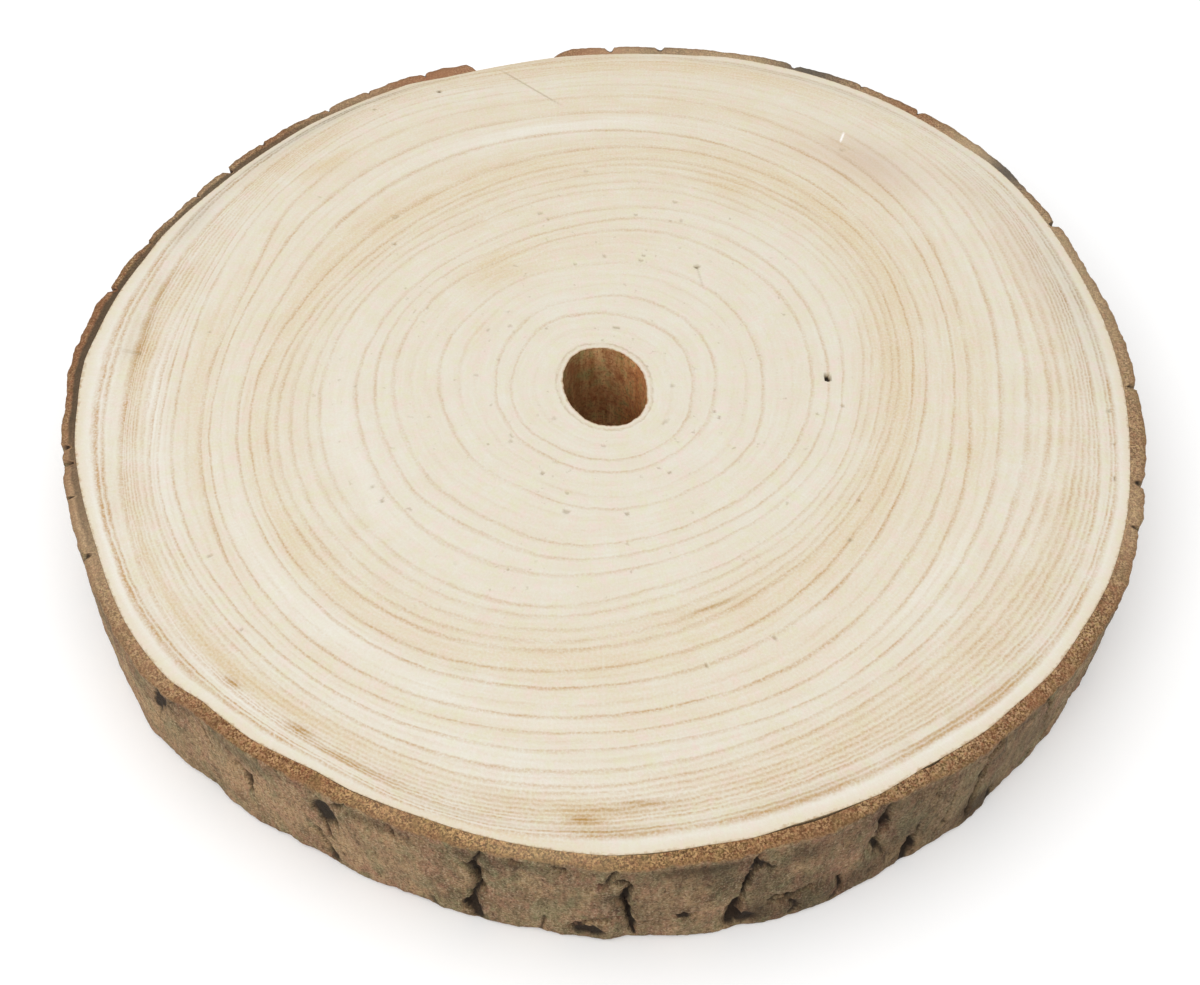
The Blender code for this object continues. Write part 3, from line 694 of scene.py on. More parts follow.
# Cracks: width and depth in mm, then the places that it runs through, as angle and height
# in mm. First those of the front, which differ most
CRACKS = (
    (1.6, 0.5, (223.0, 23.5), (222.2, 17.5)), (0.9, 0.4, (222.2, 17.5), (221.2, 10.7)),
    (0.9, 0.4, (225.6, 28), (224.9, 25.5)), (2.2, 0.9, (233.3, 20.4), (234.4, 18.7)),
    (1.5, 1.0, (234.5, 18.6), (234.3, 15.5)), (1.1, 1.0, (234.3, 15.5), (234.2, 12.5)),
    (0.9, 0.5, (234.6, 19), (235.6, 20.5)), (1.2, 1.0, (246.2, 28.8), (244.8, 26)),
    (1.6, 1.2, (244.7, 21), (244.8, 19)), (1.2, 1.0, (243.4, 18.5), (243.8, 14), (243.9, 12)),
    (0.8, 0.5, (242.5, 11.8), (244.1, 12.2)), (2.4, 1.0, (242.2, 12), (242.6, 8), (243.5, 2)),
    (1.2, 1.0, (259.6, 28.6), (258.9, 25), (258.7, 22.7)), (1.5, 0.9, (258.0, 22.3), (259.9, 21.9)),
    (1.4, 2.0, (258.7, 22.7), (259.2, 19), (259.4, 13.5)), (2.6, 1.6, (259.0, 21), (259.1, 19.5)),
    (1.2, 1.1, (259.2, 14), (258.5, 10.4), (258.4, 8)), (3.0, 2.0, (258.1, 6.5), (258.2, 3.6), (258.7, 1.6)),
    (1.1, 0.9, (271.6, 28), (271.2, 26), (270.4, 22.5)), (0.7, 0.5, (272.3, 25), (271.3, 24.2)),
    (1.2, 1.2, (271.9, 24.6), (272.9, 23), (273, 21)), (1.3, 2.0, (272.8, 21), (272.3, 17), (272.8, 11)),
    (2.6, 1.6, (272.3, 17.5), (272.4, 16)), (1.1, 1.4, (272.8, 11), (273.2, 5), (273.5, 1.2)),
    (1.0, 0.9, (267.6, 4.6), (269.6, 7.4), (271.9, 9.4)), (0.9, 0.7, (277, 10.2), (279.1, 9.8)),
    (0.7, 0.5, (278, 11), (277.8, 8.4)), (1.2, 1.0, (284.6, 28.3), (284.2, 26.4)),
    (1.6, 1.4, (284.3, 25.6), (284.3, 23.2)), (1.0, 0.9, (284.6, 25), (285.4, 22.4), (285.9, 21)),
    (1.3, 1.5, (284.0, 23), (283.5, 17), (283.0, 11)), (2.8, 2.2, (283.0, 11), (282.6, 6.5), (282.4, 2.4)),
    (1.0, 1.0, (285.8, 8.2), (286.6, 9.6), (287.6, 9.2), (288.2, 8.2)),
    (1.2, 1.2, (287.8, 7.4), (289, 9.1), (290.0, 9.6)), (0.9, 0.9, (285.8, 8.0), (287.0, 7.4), (288.0, 8.2)),
    (1.3, 0.9, (288.2, 5.4), (288.9, 3), (288.2, 1.5)), (1.6, 1.0, (293, 8.6), (293.3, 4)),
    (0.9, 0.8, (293.3, 4), (292.6, 1.2)), (1.2, 0.7, (297.6, 28), (297.3, 24.5)),
    (2.9, 1.9, (297.2, 24), (297.3, 19)), (2.2, 1.5, (296.4, 16.5), (297.0, 13), (297.6, 11)),
    (0.8, 0.7, (297.4, 11), (298.2, 7.7)), (1.1, 0.7, (302.0, 12), (301.8, 9)),
    (2.6, 1.7, (301.6, 8), (301.2, 3.5), (300.6, 0)), (1.3, 1.6, (310.6, 28), (309.3, 25.6), (309.4, 18.7)),
    (1.1, 1.2, (309.2, 18.7), (308.9, 12), (308.7, 4)), (2.6, 1.3, (311.9, 5.2), (312.1, 1.5)),
    (1.4, 1.3, (317.5, 28), (318.4, 24), (318.8, 17.5)), (1.5, 0.7, (318.3, 5.8), (318.4, 4.4)),
    (1.2, 0.8, (323.8, 28), (324.4, 22)), (1.3, 1.0, (321.5, 14), (321.2, 3)),
    (1.4, 1.0, (326.9, 8), (327.4, 0)), (1.2, 0.8, (332, 28), (331, 19)), (1.3, 1.0, (331, 10), (330.7, 0)),
    (1.3, 1.1, (341.3, 30), (340.8, 17), (340, 0)), (1.2, 0.5, (254.3, 3), (254.5, 1)),
    (1.0, 0.6, (248.7, 16), (248.9, 15)), (1.0, 0.6, (303, 24), (303.2, 22.6)),
    (0.9, 0.3, (229, 28), (229.8, 20)), (0.9, 0.6, (265.2, 7), (264.6, 0)),
    (0.9, 0.6, (250.6, 28), (251.2, 25)), (1.0, 0.6, (262.4, 28.2), (263.5, 27.6)),
    (1.1, 0.7, (266.2, 28.2), (267.0, 27.4)), (1.1, 0.9, (213, 28), (213.4, 12), (214.2, 0)),
    (1.2, 1.0, (205.5, 30), (204.8, 16), (203.6, 0)), (1.3, 2.4, (192.4, 30), (193.4, 26)),
    (1.0, 1.3, (197.2, 30), (197.5, 24), (198.5, 0)), (0.9, 0.3, (217.5, 24), (218.3, 12)),
    (0.9, 0.5, (305.5, 20), (305, 8)),
)
# Cracks of the sides and the back: angle at the top and at the bottom, the two heights, width
# and depth
PLAIN_CRACKS = (
    (113.4, 112, 30, 0, 1.2, 1.2), (120.9, 122.5, 30, 17, 1.0, 0.9), (126.7, 126, 30, 6, 1.3, 1.3),
    (130.7, 132.5, 21, 0, 1.1, 1.3), (136.4, 137.8, 30, 22, 1.0, 0.9), (142.5, 142, 30, 0, 1.7, 1.7),
    (148.2, 150, 30, 12, 1.2, 1.4), (153.5, 154.5, 12, 0, 1.2, 1.0), (157.6, 156, 30, 19, 1.0, 1.2),
    (165.9, 164.2, 30, 0, 1.6, 1.7), (171.5, 173, 27, 18, 0.9, 0.8), (177.6, 178.5, 26, 6, 1.2, 1.2),
    (183, 182, 17, 0, 1.3, 1.3), (190, 188.6, 30, 0, 1.2, 1.3), (347.4, 348.8, 30, 0, 1.5, 1.4),
    (354.5, 355.5, 26, 15, 1.0, 0.9), (361.6, 360.2, 30, 9, 1.2, 1.4), (366.5, 368, 14, 0, 1.3, 1.1),
    (368.5, 369.5, 27, 20, 1.0, 1.0), (375.1, 374, 26, 0, 1.2, 1.3), (379, 380.6, 28, 16, 1.2, 1.2),
    (387.9, 388.6, 30, 0, 1.7, 1.7), (395.5, 394, 27, 12, 1.0, 1.0), (402, 403.5, 24, 0, 1.2, 1.4),
    (411.4, 410.4, 30, 3, 1.4, 1.4), (419, 420.8, 30, 21, 1.0, 0.9), (427.5, 426, 30, 10, 1.0, 1.0),
    (436, 436.6, 18, 0, 1.2, 1.1), (443.9, 443, 30, 0, 1.4, 1.2), (449.9, 451, 30, 13, 1.6, 1.6),
)
# Where the bark has lifted off the wood: angle, height, half widths in degrees and mm, gap in mm
LIFTED = ((290, 30, 4.0, 9, 0.55), (303, 30, 1.2, 5, 0.5), (275, 30, 3.0, 4, 0.18), (246, 30, 6.0, 4, 0.12))
# Pits where a lenticel or a twig has gone: angle, height, half widths in degrees and mm, depth
PITS = (
    (223.7, 26.3, 1.0, 3.2, 0.5), (223.1, 23.6, 1.1, 3.2, 0.5), (222.5, 20.8, 0.8, 3.0, 0.4),
    (243.6, 22.0, 1.7, 4.8, 0.9), (297.2, 20.5, 1.0, 3.2, 0.9), (277.8, 10, 1.0, 1.0, 0.5),
    (258.2, 5.0, 1.3, 2.6, 0.8), (284.4, 24.4, 1.2, 2.0, 0.7), (301.3, 4.8, 1.1, 3.0, 0.7),
    (310.0, 27.4, 0.5, 1.2, 0.5), (269.2, 3.6, 1.9, 2.2, 0.7), (283.4, 3.8, 1.7, 2.6, 0.6),
    (133.5, 12, 1.1, 1.6, 1.2), (160.0, 9, 0.7, 1.9, 1.0), (171.0, 14, 0.9, 1.0, 1.0),
    (12.0, 19, 0.9, 1.5, 1.1), (38.5, 8, 1.2, 1.5, 1.2), (56.0, 19, 0.7, 2.4, 1.1),
    (71.5, 13, 1.1, 1.1, 1.0), (355.5, 9, 0.8, 1.8, 1.0),
)
# Bulges and hollows of single plates: angle, height, half widths in degrees and mm, height in mm
BULGES = (
    (270.9, 3.2, 1.1, 3.6, 0.9), (267.5, 5, 2.0, 7, 0.4), (264, 17, 3.5, 8, 0.35), (277.5, 16, 4.0, 10, 0.4),
    (290, 5, 4.0, 6, 0.45), (286.4, 14, 1.6, 8, 0.3), (252, 14, 5.0, 10, 0.4), (238, 12, 3.5, 9, 0.4),
    (228, 13, 4.0, 9, 0.35), (306, 13, 2.5, 10, 0.35), (314, 10, 2.2, 8, 0.3), (338, 10, 0.7, 2.0, 1.0),
    (235.5, 26, 1.5, 2.5, -0.4), (217, 14, 3.0, 10, 0.35), (294.5, 16, 2.0, 9, 0.3),
    (285.2, 16.5, 1.3, 6.0, -0.9), (128, 18, 3.0, 7, 0.4), (147, 14, 3.5, 9, 0.4), (160, 20, 3.0, 8, 0.3),
    (171, 10, 3.5, 8, 0.4), (186, 14, 2.5, 9, 0.4), (351, 15, 3.0, 9, 0.35), (5, 12, 3.5, 9, 0.4),
    (23, 16, 3.0, 10, 0.4), (33, 12, 4.0, 8, 0.35), (47, 9, 3.5, 8, 0.4), (63, 18, 4.0, 8, 0.4),
    (79, 12, 3.5, 9, 0.4), (90, 16, 3.0, 9, 0.3),
)


def soft_spots(spots_there, angles, heights):
    """The sum of soft oval spots over the wall."""
    total = np.zeros(np.broadcast(angles, heights).shape)
    for angle, height, half_turn, half_height, amount in spots_there:
        aside = turn_from(angle, angles) / half_turn
        total += amount * np.exp(-1.2 * (aside**2 + ((heights - height) / half_height) ** 2))
    return total


def carve(angles, heights, cracks):
    """Depth in mm and painted shade of the cracks at places on the wall."""
    # A crack is jagged in steps of 2 and 5 mm, swells and narrows every 3 mm, has soft shoulders
    # and closes toward the lower cut
    around, up = np.radians(angles) * MEAN_WALL, np.broadcast_to(heights, angles.shape)
    unrolled = np.stack([around, up, np.zeros(around.shape)], axis=-1)
    jag = 0.5 * noise_at(unrolled, 1.8, 2, shift=3.0) + 0.35 * noise_at(unrolled, 5.0, 2, shift=5.0)
    swell = 1 + 0.75 * noise_at(unrolled, 3.2, 2, shift=8.0)
    reach = 12
    depth, painted_shade = np.zeros(angles.shape), np.zeros(angles.shape)
    for width, deep, *course in cracks:
        corners = [(math.radians(angle) * MEAN_WALL, height) for angle, height in course]
        low = min(corner[0] for corner in corners) - reach
        high = max(corner[0] for corner in corners) + reach
        near = np.flatnonzero((around.max(axis=0) > low) & (around.min(axis=0) < high))
        if not len(near):
            continue
        span = slice(near[0], near[-1] + 1)
        x, y = around[:, span] + jag[:, span], up[:, span]
        distance = np.full(x.shape, np.inf)
        for (x0, y0), (x1, y1) in zip(corners, corners[1:]):
            length = (x1 - x0) ** 2 + (y1 - y0) ** 2
            along = np.clip(((x - x0) * (x1 - x0) + (y - y0) * (y1 - y0)) / length, 0, 1)
            distance = np.minimum(distance, np.hypot(x - x0 - along * (x1 - x0), y - y0 - along * (y1 - y0)))
        groove = np.clip(1.55 - 1.25 * distance / (width / 2 * swell[:, span]), 0, 1)
        shoulder = 0.3 * np.exp(-((distance / 3.0) ** 2)) * min(deep, 1.6)
        closing = np.clip(0.12 + y / 5, 0, 1)
        depth[:, span] = np.maximum(depth[:, span], (deep * groove**0.8 + shoulder) * closing)
        painted_shade[:, span] = np.maximum(painted_shade[:, span], groove * min(1.0, 0.35 + 0.5 * deep))
    return depth, painted_shade


# A plain crack sways, its four legs differ in width, and two in three of them fork
all_cracks = list(CRACKS)
bends = noise_at([(index * 3.7, 0.5, 0.5) for index in range(4 * len(PLAIN_CRACKS))], 1.0)
for index, (upper, lower, from_height, to_height, width, deep) in enumerate(PLAIN_CRACKS):
    sway = bends[4 * index:4 * index + 4]
    course = [
        (upper + (lower - upper) * part + 2.6 * aside, from_height + (to_height - from_height) * part)
        for part, aside in zip((0, 0.3, 0.55, 0.8, 1), (0, *sway[:3], 0))
    ]
    for leg, share in enumerate((0.9, 0.45, 0.8, 0.4)):
        share += 0.9 * abs(sway[leg])
        all_cracks.append((share * width, share * deep, *course[leg:leg + 2]))
    if index % 3:
        fork = course[2]
        tip = fork[0] + math.copysign(0.9, sway[3]) + 5 * sway[3], fork[1] + 14 * sway[0]
        all_cracks.append((0.6 * width, 0.5 * deep, fork, tip))

fine_turns = np.linspace(LEFT_END[0], RIGHT_END[0], 4000)
density = np.where((fine_turns > FRONT[0]) & (fine_turns < FRONT[1]), FRONT_DENSITY, 1.0)
reached = np.concatenate([[0.0], np.cumsum((density[1:] + density[:-1]) / 2)])
column_turns = np.interp(np.linspace(0, 1, BARK_COLUMNS), reached / reached[-1], fine_turns)
column_shares = (column_turns - LEFT_END[0]) / (RIGHT_END[0] - LEFT_END[0])


def turns_at(height):
    """The columns' angles at a height in mm, from one ragged end of the bark to the other."""
    ragged = noise_at([(height, 0.0, 4.0), (height, 9.0, 0.0)], 4.0, 3) * 0.35
    left = LEFT_END[1] + (LEFT_END[0] - LEFT_END[1]) * height / TOP + ragged[0]
    right = RIGHT_END[1] + (RIGHT_END[0] - RIGHT_END[1]) * height / TOP + ragged[1]
    return left + (right - left) * column_shares


# The wall's rows crowd at its worn upper and lower edges
wall_heights = np.concatenate([[TOP - 0.25, TOP - 0.7], np.linspace(TOP - 1.3, 1.1, WALL_ROWS), [0.6, 0.2]])
wall_turns = np.array([turns_at(height) for height in wall_heights])
wall_up = np.broadcast_to(wall_heights[:, None], wall_turns.shape)
below_top = TOP - wall_up
rise = wall_up / TOP
full = at_angle(LOWER_BARK, wall_turns) * (1 - rise) + at_angle(UPPER_BARK, wall_turns) * rise
from_left = np.radians(wall_turns - wall_turns[:, :1]) * MEAN_WALL
from_right = np.radians(wall_turns[:, -1:] - wall_turns) * MEAN_WALL
# The bark thins out at both ends of the missing flake
whole = np.clip(from_left / LEFT_TAPER, 0, 1) ** 0.6 * np.clip(from_right / RIGHT_TAPER, 0.02, 1) ** 0.7
timber = edge_at(wall_turns, wood_edge)
skin = place(wall_turns, timber + full, wall_up * MM) / MM
upright = skin * (1, 1, 0.45)
# Lumps of 16, 6, 3 and 1 mm, some of them drawn out upright, and the plates' own bulges
lumps = 0.45 * noise_at(skin, 16.0, 2) + 0.3 * noise_at(upright, 6.0, 2, shift=4.0)
lumps += 0.2 * noise_at(upright, 2.6, 3, shift=6.0) + 0.1 * noise_at(skin, 1.1, 2, shift=2.0)
lumps += soft_spots(BULGES, wall_turns, wall_up)
# The cracks are cut into the wall, and painted shade darkens them
crack_depth, crack_dark = carve(wall_turns, wall_up, all_cracks)
frayed = 0.7 * noise_at(skin, 1.8, 2, shift=12.0)
# The pits are sunk too, and painted shade darkens them
for *pit, deep in PITS:
    hollow = soft_spots([(*pit, 1.0)], wall_turns + 0.3 * frayed, wall_up + frayed)
    hollow = np.clip(3.6 * hollow - 1.2, 0, 1)
    crack_depth = np.maximum(crack_depth, deep * hollow)
    crack_dark = np.maximum(crack_dark, 0.92 * hollow)
# Under the crest the bark has crumbled back into a shallow groove that comes and goes, which painted shade
# darkens
level = place(wall_turns, timber + full, 0.0) / MM
comes = np.clip(0.55 + 1.3 * noise_at(level[:1], 14.0, 2, shift=7.0), 0.1, 1.0)
comes = comes * np.interp(wall_turns, (200, 236, 248, 420), (0.1, 0.15, 0.55, 0.55))
crumbled = comes * np.exp(-(((TOP - 2.6 - wall_up) / 1.4) ** 2))
crest = 0.3 * noise_at(level[:1], 2.2, 3, shift=1.5) * np.clip(1 - below_top / 2.0, 0, 1)
worn = 0.3 * np.clip(1 - below_top / 0.9, 0, 1) ** 1.5 + 0.3 * np.clip(1 - wall_up / 1.1, 0, 1) ** 1.5
thick = full + lumps + crest - crack_depth - worn - 0.45 * crumbled
thick = np.maximum(thick, THINNEST) * whole + THINNEST_END
clear_of_wood = CLOSEST + soft_spots(LIFTED, wall_turns, wall_up)
reach_out = np.maximum(thick, clear_of_wood + THINNEST_LIFTED)
wall = place(wall_turns, timber + reach_out, wall_up * MM)


def sawn_bark(height, edge_row, rows, side):
    """The rows of the bark's cut face, from the wood to the wall's edge, and how far out each is."""
    turns = wall_turns[edge_row]
    shares = np.linspace(0, 1, rows + 1)[:-1, None]
    inner = timber[edge_row] + clear_of_wood[edge_row]
    outer = timber[edge_row] + reach_out[edge_row]
    distances = inner + (outer - inner) * shares
    flat = place(np.broadcast_to(turns, distances.shape), distances, height) / MM
    pits = 0.12 + 0.2 * noise_at(flat, 0.9, 2, shift=1.0) + 0.1 * noise_at(flat, 3.5, 2)
    sunk = np.clip(pits, 0.0, 0.4) * np.clip(4 * shares, 0, 1) + 0.12 * shares**3
    flat[..., 2] = height / MM - side * sunk
    return flat * MM, shares


upper_cut, upper_across = sawn_bark(THICKNESS, 0, CUT_ROWS, 1)
lower_cut, lower_across = sawn_bark(0.0, -1, LOWER_CUT_ROWS, -1)
inner_rows = []
for height in np.linspace(0, TOP, INNER_ROWS + 2)[1:-1]:
    turns = turns_at(height)
    inner = edge_at(turns, wood_edge) + CLOSEST + soft_spots(LIFTED, turns, height)
    inner_rows.append(place(turns, inner, height * MM))
bark_rows = np.concatenate([upper_cut, wall, lower_cut[::-1], inner_rows])
bark_rows = np.clip(bark_rows, *np.array(packed_size))

bark_mesh = bpy.data.meshes.new("bark_ring")
bark_faces = grid_faces(len(bark_rows), BARK_COLUMNS, closed=False)
first_column = np.arange(len(bark_rows)) * BARK_COLUMNS
bark_faces.append(first_column[::-1].tolist())
bark_faces.append((first_column + BARK_COLUMNS - 1).tolist())
bark_mesh.from_pydata(bark_rows.reshape(-1, 3), [], bark_faces)

# Tones that belong to one place, by what they do: angle, height, half widths in degrees and
# mm, and strength in hundredths
TONES = {
    "pale": (
        (266, 9, 2.5, 5, 80), (277.5, 3, 2.5, 3.5, 90), (251, 14, 5, 7, 70), (235, 14, 8, 13, 100),
        (247, 13, 4, 12, 70), (306, 15, 2.2, 8, 80), (314, 14, 2.5, 8, 70), (276, 17, 3, 4, 30),
        (288.5, 20, 3, 5, 35), (216, 11, 11, 14, 100), (210, 8, 6, 11, 60), (252, 5, 3, 5, 60),
        (262, 5, 2, 4, 60), (247, 4, 3, 4, 40), (323, 12, 3, 9, 40),
    ),
    # The dark tones are partly painted shade, under the crest's lip, along the front cracks and in hollows,
    # and partly darker patches of bark
    "dark": (
        (235.8, 26, 2.2, 2.2, 40), (262, 26.8, 5, 1.7, 60), (279, 26.8, 5, 2.0, 60),
        (249, 26.6, 4.5, 1.4, 50), (304, 27, 4, 1.6, 30), (310, 24, 2.5, 4, 30), (289, 4, 7, 6, 70),
        (284.5, 6, 1.6, 5, 60), (289, 24, 3.5, 4, 75), (296, 5, 3, 5, 35), (233, 26, 3, 4, 30),
        (314, 27.2, 3, 1.4, 60), (270, 2, 1.2, 3, 50), (301, 12, 6, 16, 60), (268.5, 17, 3, 4, 30),
        (289, 12, 3, 7, 35), (279, 24, 5, 4, 42), (281, 22, 3, 5, 36), (312, 18, 5, 12, 35),
        (310, 5, 3, 5, 50), (205, 16, 5, 6, 40), (247, 17, 3, 4, 20), (285, 16, 1.3, 6, 50),
        (338, 5, 4, 6, 20), (297, 26, 4, 4, 50), (310, 4, 4, 5, 70), (317, 16, 4, 8, 30),
        (276, 16, 4, 6, 25), (212, 26, 4, 3, 30), (272.5, 16, 1.2, 10, 40), (258.8, 14, 1.0, 12, 40),
    ),
    "moss": (
        (285.4, 15, 2, 8, 80), (306, 14, 3.5, 10, 70), (314, 12, 3.5, 10, 60), (239, 27, 2, 3, 30),
        (249, 12, 3, 6, 40), (262, 24, 4, 3, 30), (264, 7, 3, 5, 40), (320, 12, 4, 12, 40),
        (337, 22, 7, 12, 70),
    ),
    "slate": (
        (65.6, 30, 4.5, 6, 100), (37.5, 30, 3.6, 6, 100), (84, 30, 4, 3, 20), (24, 30, 12, 6, 12),
    ),
    "inner": (
        (180, 30, 17, 6, 100), (140, 30, 18, 6, 80), (200, 30, 8, 6, 40), (165, 30, 20, 6, 50),
    ),
    "golden": (
        (262, 30, 30, 40, 100), (262, 0, 30, 20, 100),
    ),
    "red": (
        (112, 30, 9, 6, 90), (92, 30, 5, 6, 70), (53, 30, 6, 8, 45), (192, 30, 12, 6, 35),
        (345, 30, 14, 6, 12), (172, 30, 13, 6, 45), (135, 30, 5, 6, 40), (232, 28, 22, 8, 30),
        (287, 28, 6, 8, 25), (316, 28, 10, 8, 25),
    ),
    "light": (
        (14, 30, 22, 5, 45), (76, 30, 14, 5, 65), (24, 30, 9, 5, 30), (42, 30, 7, 5, 80),
        (201, 30, 14, 5, 75), (342, 30, 9, 5, 45), (90, 30, 5, 5, 70), (110, 30, 4, 5, 40),
        (221, 30, 6, 5, 20), (250, 30, 5, 4, 20), (57, 30, 5, 5, 30), (122, 30, 10, 5, 50),
        (265, 30, 9, 4, 35), (148, 30, 8, 4, 40),
    ),
    "dusky": (
        (174, 30, 8, 4, 30), (290, 30, 9, 4, 40),
    ),
}


def by_part(*parts):
    """A value for each point of the bark, from those of its upper cut, wall, lower cut and inside."""
    counts = CUT_ROWS, len(wall), LOWER_CUT_ROWS, INNER_ROWS
    return np.concatenate([np.broadcast_to(part, (rows, BARK_COLUMNS)) for part, rows in zip(parts, counts)])


# Granular cork shows on the saw cuts and for a few mm down the wall, and painted crack shade
# darkens the outer half of the upper cut
cork_shows = np.clip(2.3 + 2.2 * noise_at(level, 9.0, 2, shift=11.0), 0.6, 4.5)
wall_cork = np.clip(0.8 - below_top / cork_shows, 0, 0.8)
wall_cork[-1] = 0.6
crack_reach = np.clip((np.arange(CUT_ROWS) / CUT_ROWS - 0.45) * 2, 0, 1)[:, None]
bark_places = (bark_rows - np.array((*PITH, 0.0))) / MM
bark_turns = np.degrees(np.arctan2(bark_places[..., 1], bark_places[..., 0])) % 360
bark_shares = {
    "cut": by_part(1.0, wall_cork, 1.0, 1.0),
    "across": by_part(upper_across, 1.0, lower_across[::-1], 0.0),
    "crack": by_part(crack_dark[0] * crack_reach, crack_dark, 0.0, 0.0),
}
for kind, tones_there in TONES.items():
    there = [(*spot, percent / 100) for *spot, percent in tones_there]
    bark_shares[kind] = np.clip(soft_spots(there, bark_turns, bark_places[..., 2]), 0, 1)
# Painted shade darkens the crumbled groove under the crest
bark_shares["dark"] += by_part(0.0, 0.4 * crumbled, 0.0, 0.0)
for name, amount in bark_shares.items():
    store(bark_mesh, name, amount)

# Dry bark of a smooth-barked tree: matt, grey-brown with pinkish and mossy patches outside,
# painted shade, black-brown, down in the cracks, and granular golden brown cork where the saw went through
bark, position = new_finish("dry_corky_bark", 0.92, 0.2)
share_of = {name: add_node(bark, "Attribute", attribute_name=name, output="Fac") for name in bark_shares}
upright = add_node(bark, "VectorMath", {0: position, 1: (1.0, 1.0, 0.5)}, operation="MULTIPLY")
stringy = add_node(bark, "VectorMath", {0: position, 1: (1.0, 1.0, 0.22)}, operation="MULTIPLY")
broad, pinkish, mossy, coarse, crumbs, grains, threads, tinge = (
    add_node(
        bark,
        "TexNoise",
        {
            "Vector": where, "W": seed, "Scale": 1 / feature,
            "Detail": detail, "Roughness": 0.7, "Distortion": swirl,
        },
        noise_dimensions="4D",
    )
    for where, seed, feature, detail, swirl in (
        (upright, 0.0, 6.0, 3.0, 0.8),
        (upright, 3.0, 4.4, 2.0, 0.8),
        (upright, 6.0, 5.0, 2.0, 0.8),
        (position, 0.0, 2.0, 3.0, 0.5),
        (position, 2.0, 0.5, 2.0, 0.0),
        (position, 5.0, 0.45, 2.0, 0.0),
        (stringy, 1.0, 0.9, 3.0, 0.5),
        (position, 8.0, 0.9, 3.0, 0.0),
    )
)
# The wall's colour ends with the dark tones, which are partly painted shade
wall_colour = coated(
    bark,
    linear("#523E2A"),
    (broad, 0.35, 0.65, 1, "#9E825E"),
    (share_of["pale"], 0, 1, 0.7, "#B3926C"),
    (pinkish, 0.45, 0.66, 0.65, "#906550"),
    (mossy, 0.46, 0.66, 0.65, "#716F4E"),
    (share_of["moss"], 0, 1, 0.55, "#706C4E"),
    (tinge, 0.52, 0.68, 0.3, "#9C6C58"),
    (tinge, 0.48, 0.32, 0.3, "#707450"),
    (coarse, 0.5, 0.7, 0.6, "#3F2F21"),
    (threads, 0.48, 0.34, 0.5, "#4A3928"),
    (threads, 0.54, 0.68, 0.4, "#AE987A"),
    (crumbs, 0.48, 0.34, 0.7, "#33261A"),
    (crumbs, 0.54, 0.68, 0.5, "#BBA88A"),
    (share_of["dark"], 0, 1 / 0.75, 1, "#33261A"),
)
light_grains = add_node(bark, "MixRGB", {0: share_of["golden"], 1: linear("#BC9C76"), 2: linear("#CBA26E")})
inner_edge = varied(bark, 0.85, {0: share_of["inner"]}, {0: share_of["across"], 1: 0.62, 2: 0.4})
cork_colour = coated(
    bark,
    linear("#4E3821"),
    (grains, 0.42, 0.59, 1, light_grains),
    (tinge, 0.52, 0.66, 0.55, "#9C6040"),
    (tinge, 0.48, 0.34, 0.5, "#B09050"),
    (pinkish, 0.45, 0.65, 0.5, "#8A5A3E"),
    (mossy, 0.5, 0.68, 0.5, "#77683F"),
    (coarse, 0.52, 0.7, 0.6, "#4A3420"),
    (crumbs, 0.44, 0.34, 0.8, "#3B2614"),
    (share_of["light"], 0, 1, 0.55, "#D6BE9A"),
    (share_of["dusky"], 0, 1, 0.5, "#6A4C32"),
    (share_of["red"], 0, 1, 0.6, "#9A5A3C"),
    (share_of["across"], 0.6, 0.95, 0.4, "#6E5135"),
    (inner_edge, 0, 1, 1, "#4A4133"),
)
ragged = add_node(bark, "Math", {0: coarse, 1: 1.2, 2: share_of["cut"]}, operation="MULTIPLY_ADD")
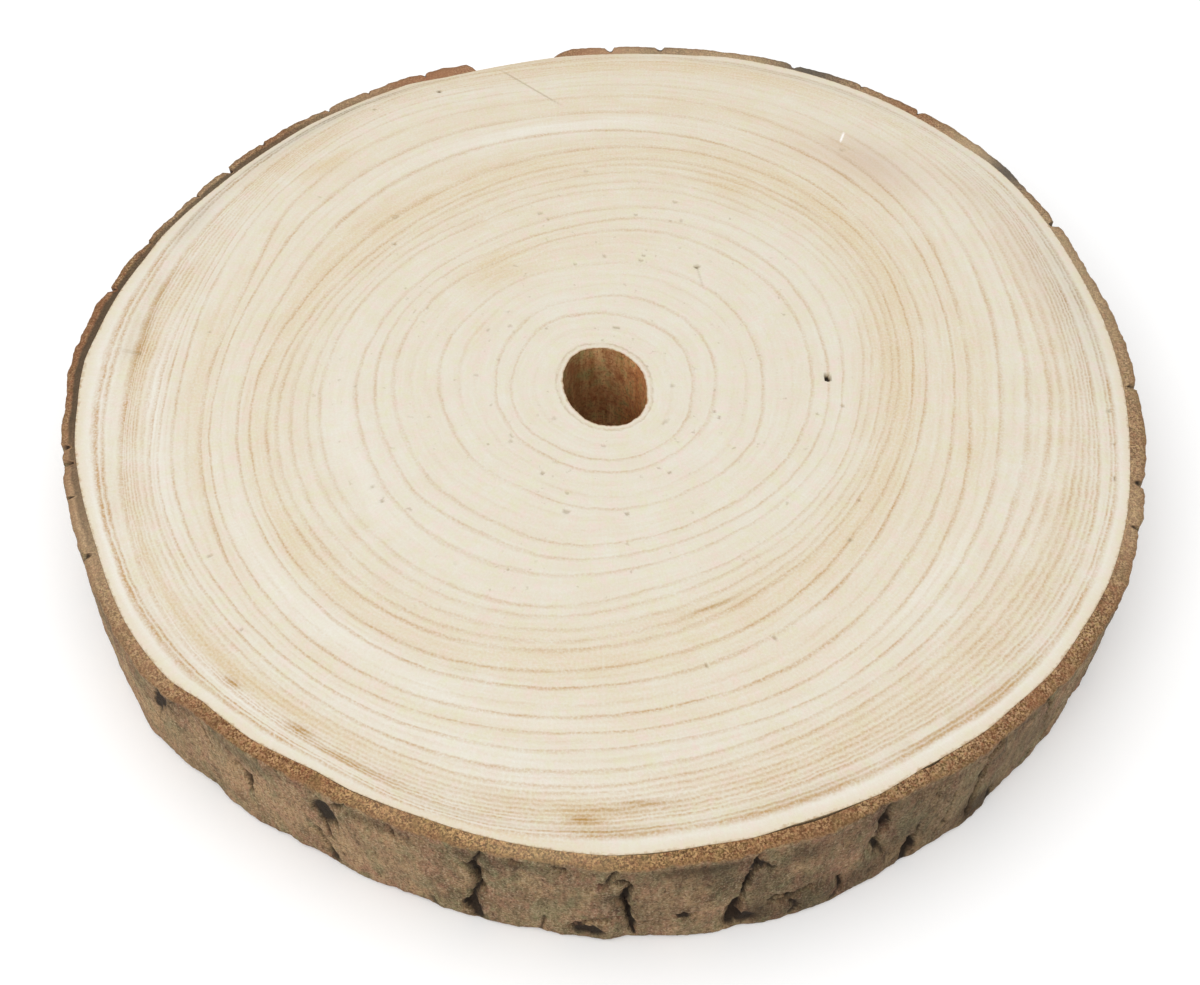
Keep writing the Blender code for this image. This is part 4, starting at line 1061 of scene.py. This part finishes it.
# Painted shade colours the cracks and pits near black
colour = coated(
    bark,
    wall_colour,
    (ragged, 0.95, 1.3, 1, cork_colour),
    (share_of["slate"], 0, 1, 0.8, "#4B4A47"),
    (share_of["crack"], 0.15, 0.88, 0.93, "#1E1610"),
)
relief = add_node(bark, "Math", {0: crumbs, 1: 0.6, 2: coarse}, operation="MULTIPLY_ADD")
relief = add_node(bark, "Math", {0: threads, 1: 0.6, 2: relief}, operation="MULTIPLY_ADD")
dress(bark, colour, relief, 1.0, 0.45)

bark_mesh.materials.append(bark)
bark_mesh.shade_smooth()
bark_mesh.set_sharp_from_angle(angle=math.radians(50))
bark_ring = bpy.data.objects.new("bark_ring", bark_mesh)
bpy.context.scene.collection.objects.link(bark_ring)
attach(bark_ring, "root")
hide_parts("bark")


# The floor and the light: a flat white paper floor, a broad soft lamp overhead, one in front on the
# left, and a white surround
floor_mesh = bpy.data.meshes.new("floor")
floor_mesh.from_pydata([(-6, -6, 0), (6, -6, 0), (6, 6, 0), (-6, 6, 0)], [], [(0, 1, 2, 3)])
floor = bpy.data.objects.new("floor", floor_mesh)
floor.location.z = -0.0002
bpy.context.scene.collection.objects.link(floor)
matt_white = bpy.data.materials.new("matt_white_paper")
matt_white.use_nodes = True
paper_shader = matt_white.node_tree.nodes["Principled BSDF"]
paper_shader.inputs["Base Color"].default_value = linear("#FFFFFF")
paper_shader.inputs["Roughness"].default_value = 1.0
paper_shader.inputs["Specular IOR Level"].default_value = 0.0
floor_mesh.materials.append(matt_white)

for name, at, size, watts in (
    ("overhead", (-0.3, -0.2, 1.4), 2.4, 12.4),
    ("front", (-0.7, -1.3, 0.8), 1.0, 6.0),
):
    lamp_data = bpy.data.lights.new(name, "AREA")
    lamp_data.size = size
    lamp_data.energy = watts
    lamp = bpy.data.objects.new(name, lamp_data)
    lamp.location = at
    lamp.rotation_euler = (-Vector(at)).to_track_quat("-Z", "Y").to_euler()
    bpy.context.scene.collection.objects.link(lamp)
surround = bpy.data.worlds.new("surround")
surround.use_nodes = True
surround.node_tree.nodes["Background"].inputs["Color"].default_value = linear("#FFFFFF")
surround.node_tree.nodes["Background"].inputs["Strength"].default_value = 0.77
bpy.context.scene.world = surround
bpy.context.scene.view_settings.view_transform = "Standard"
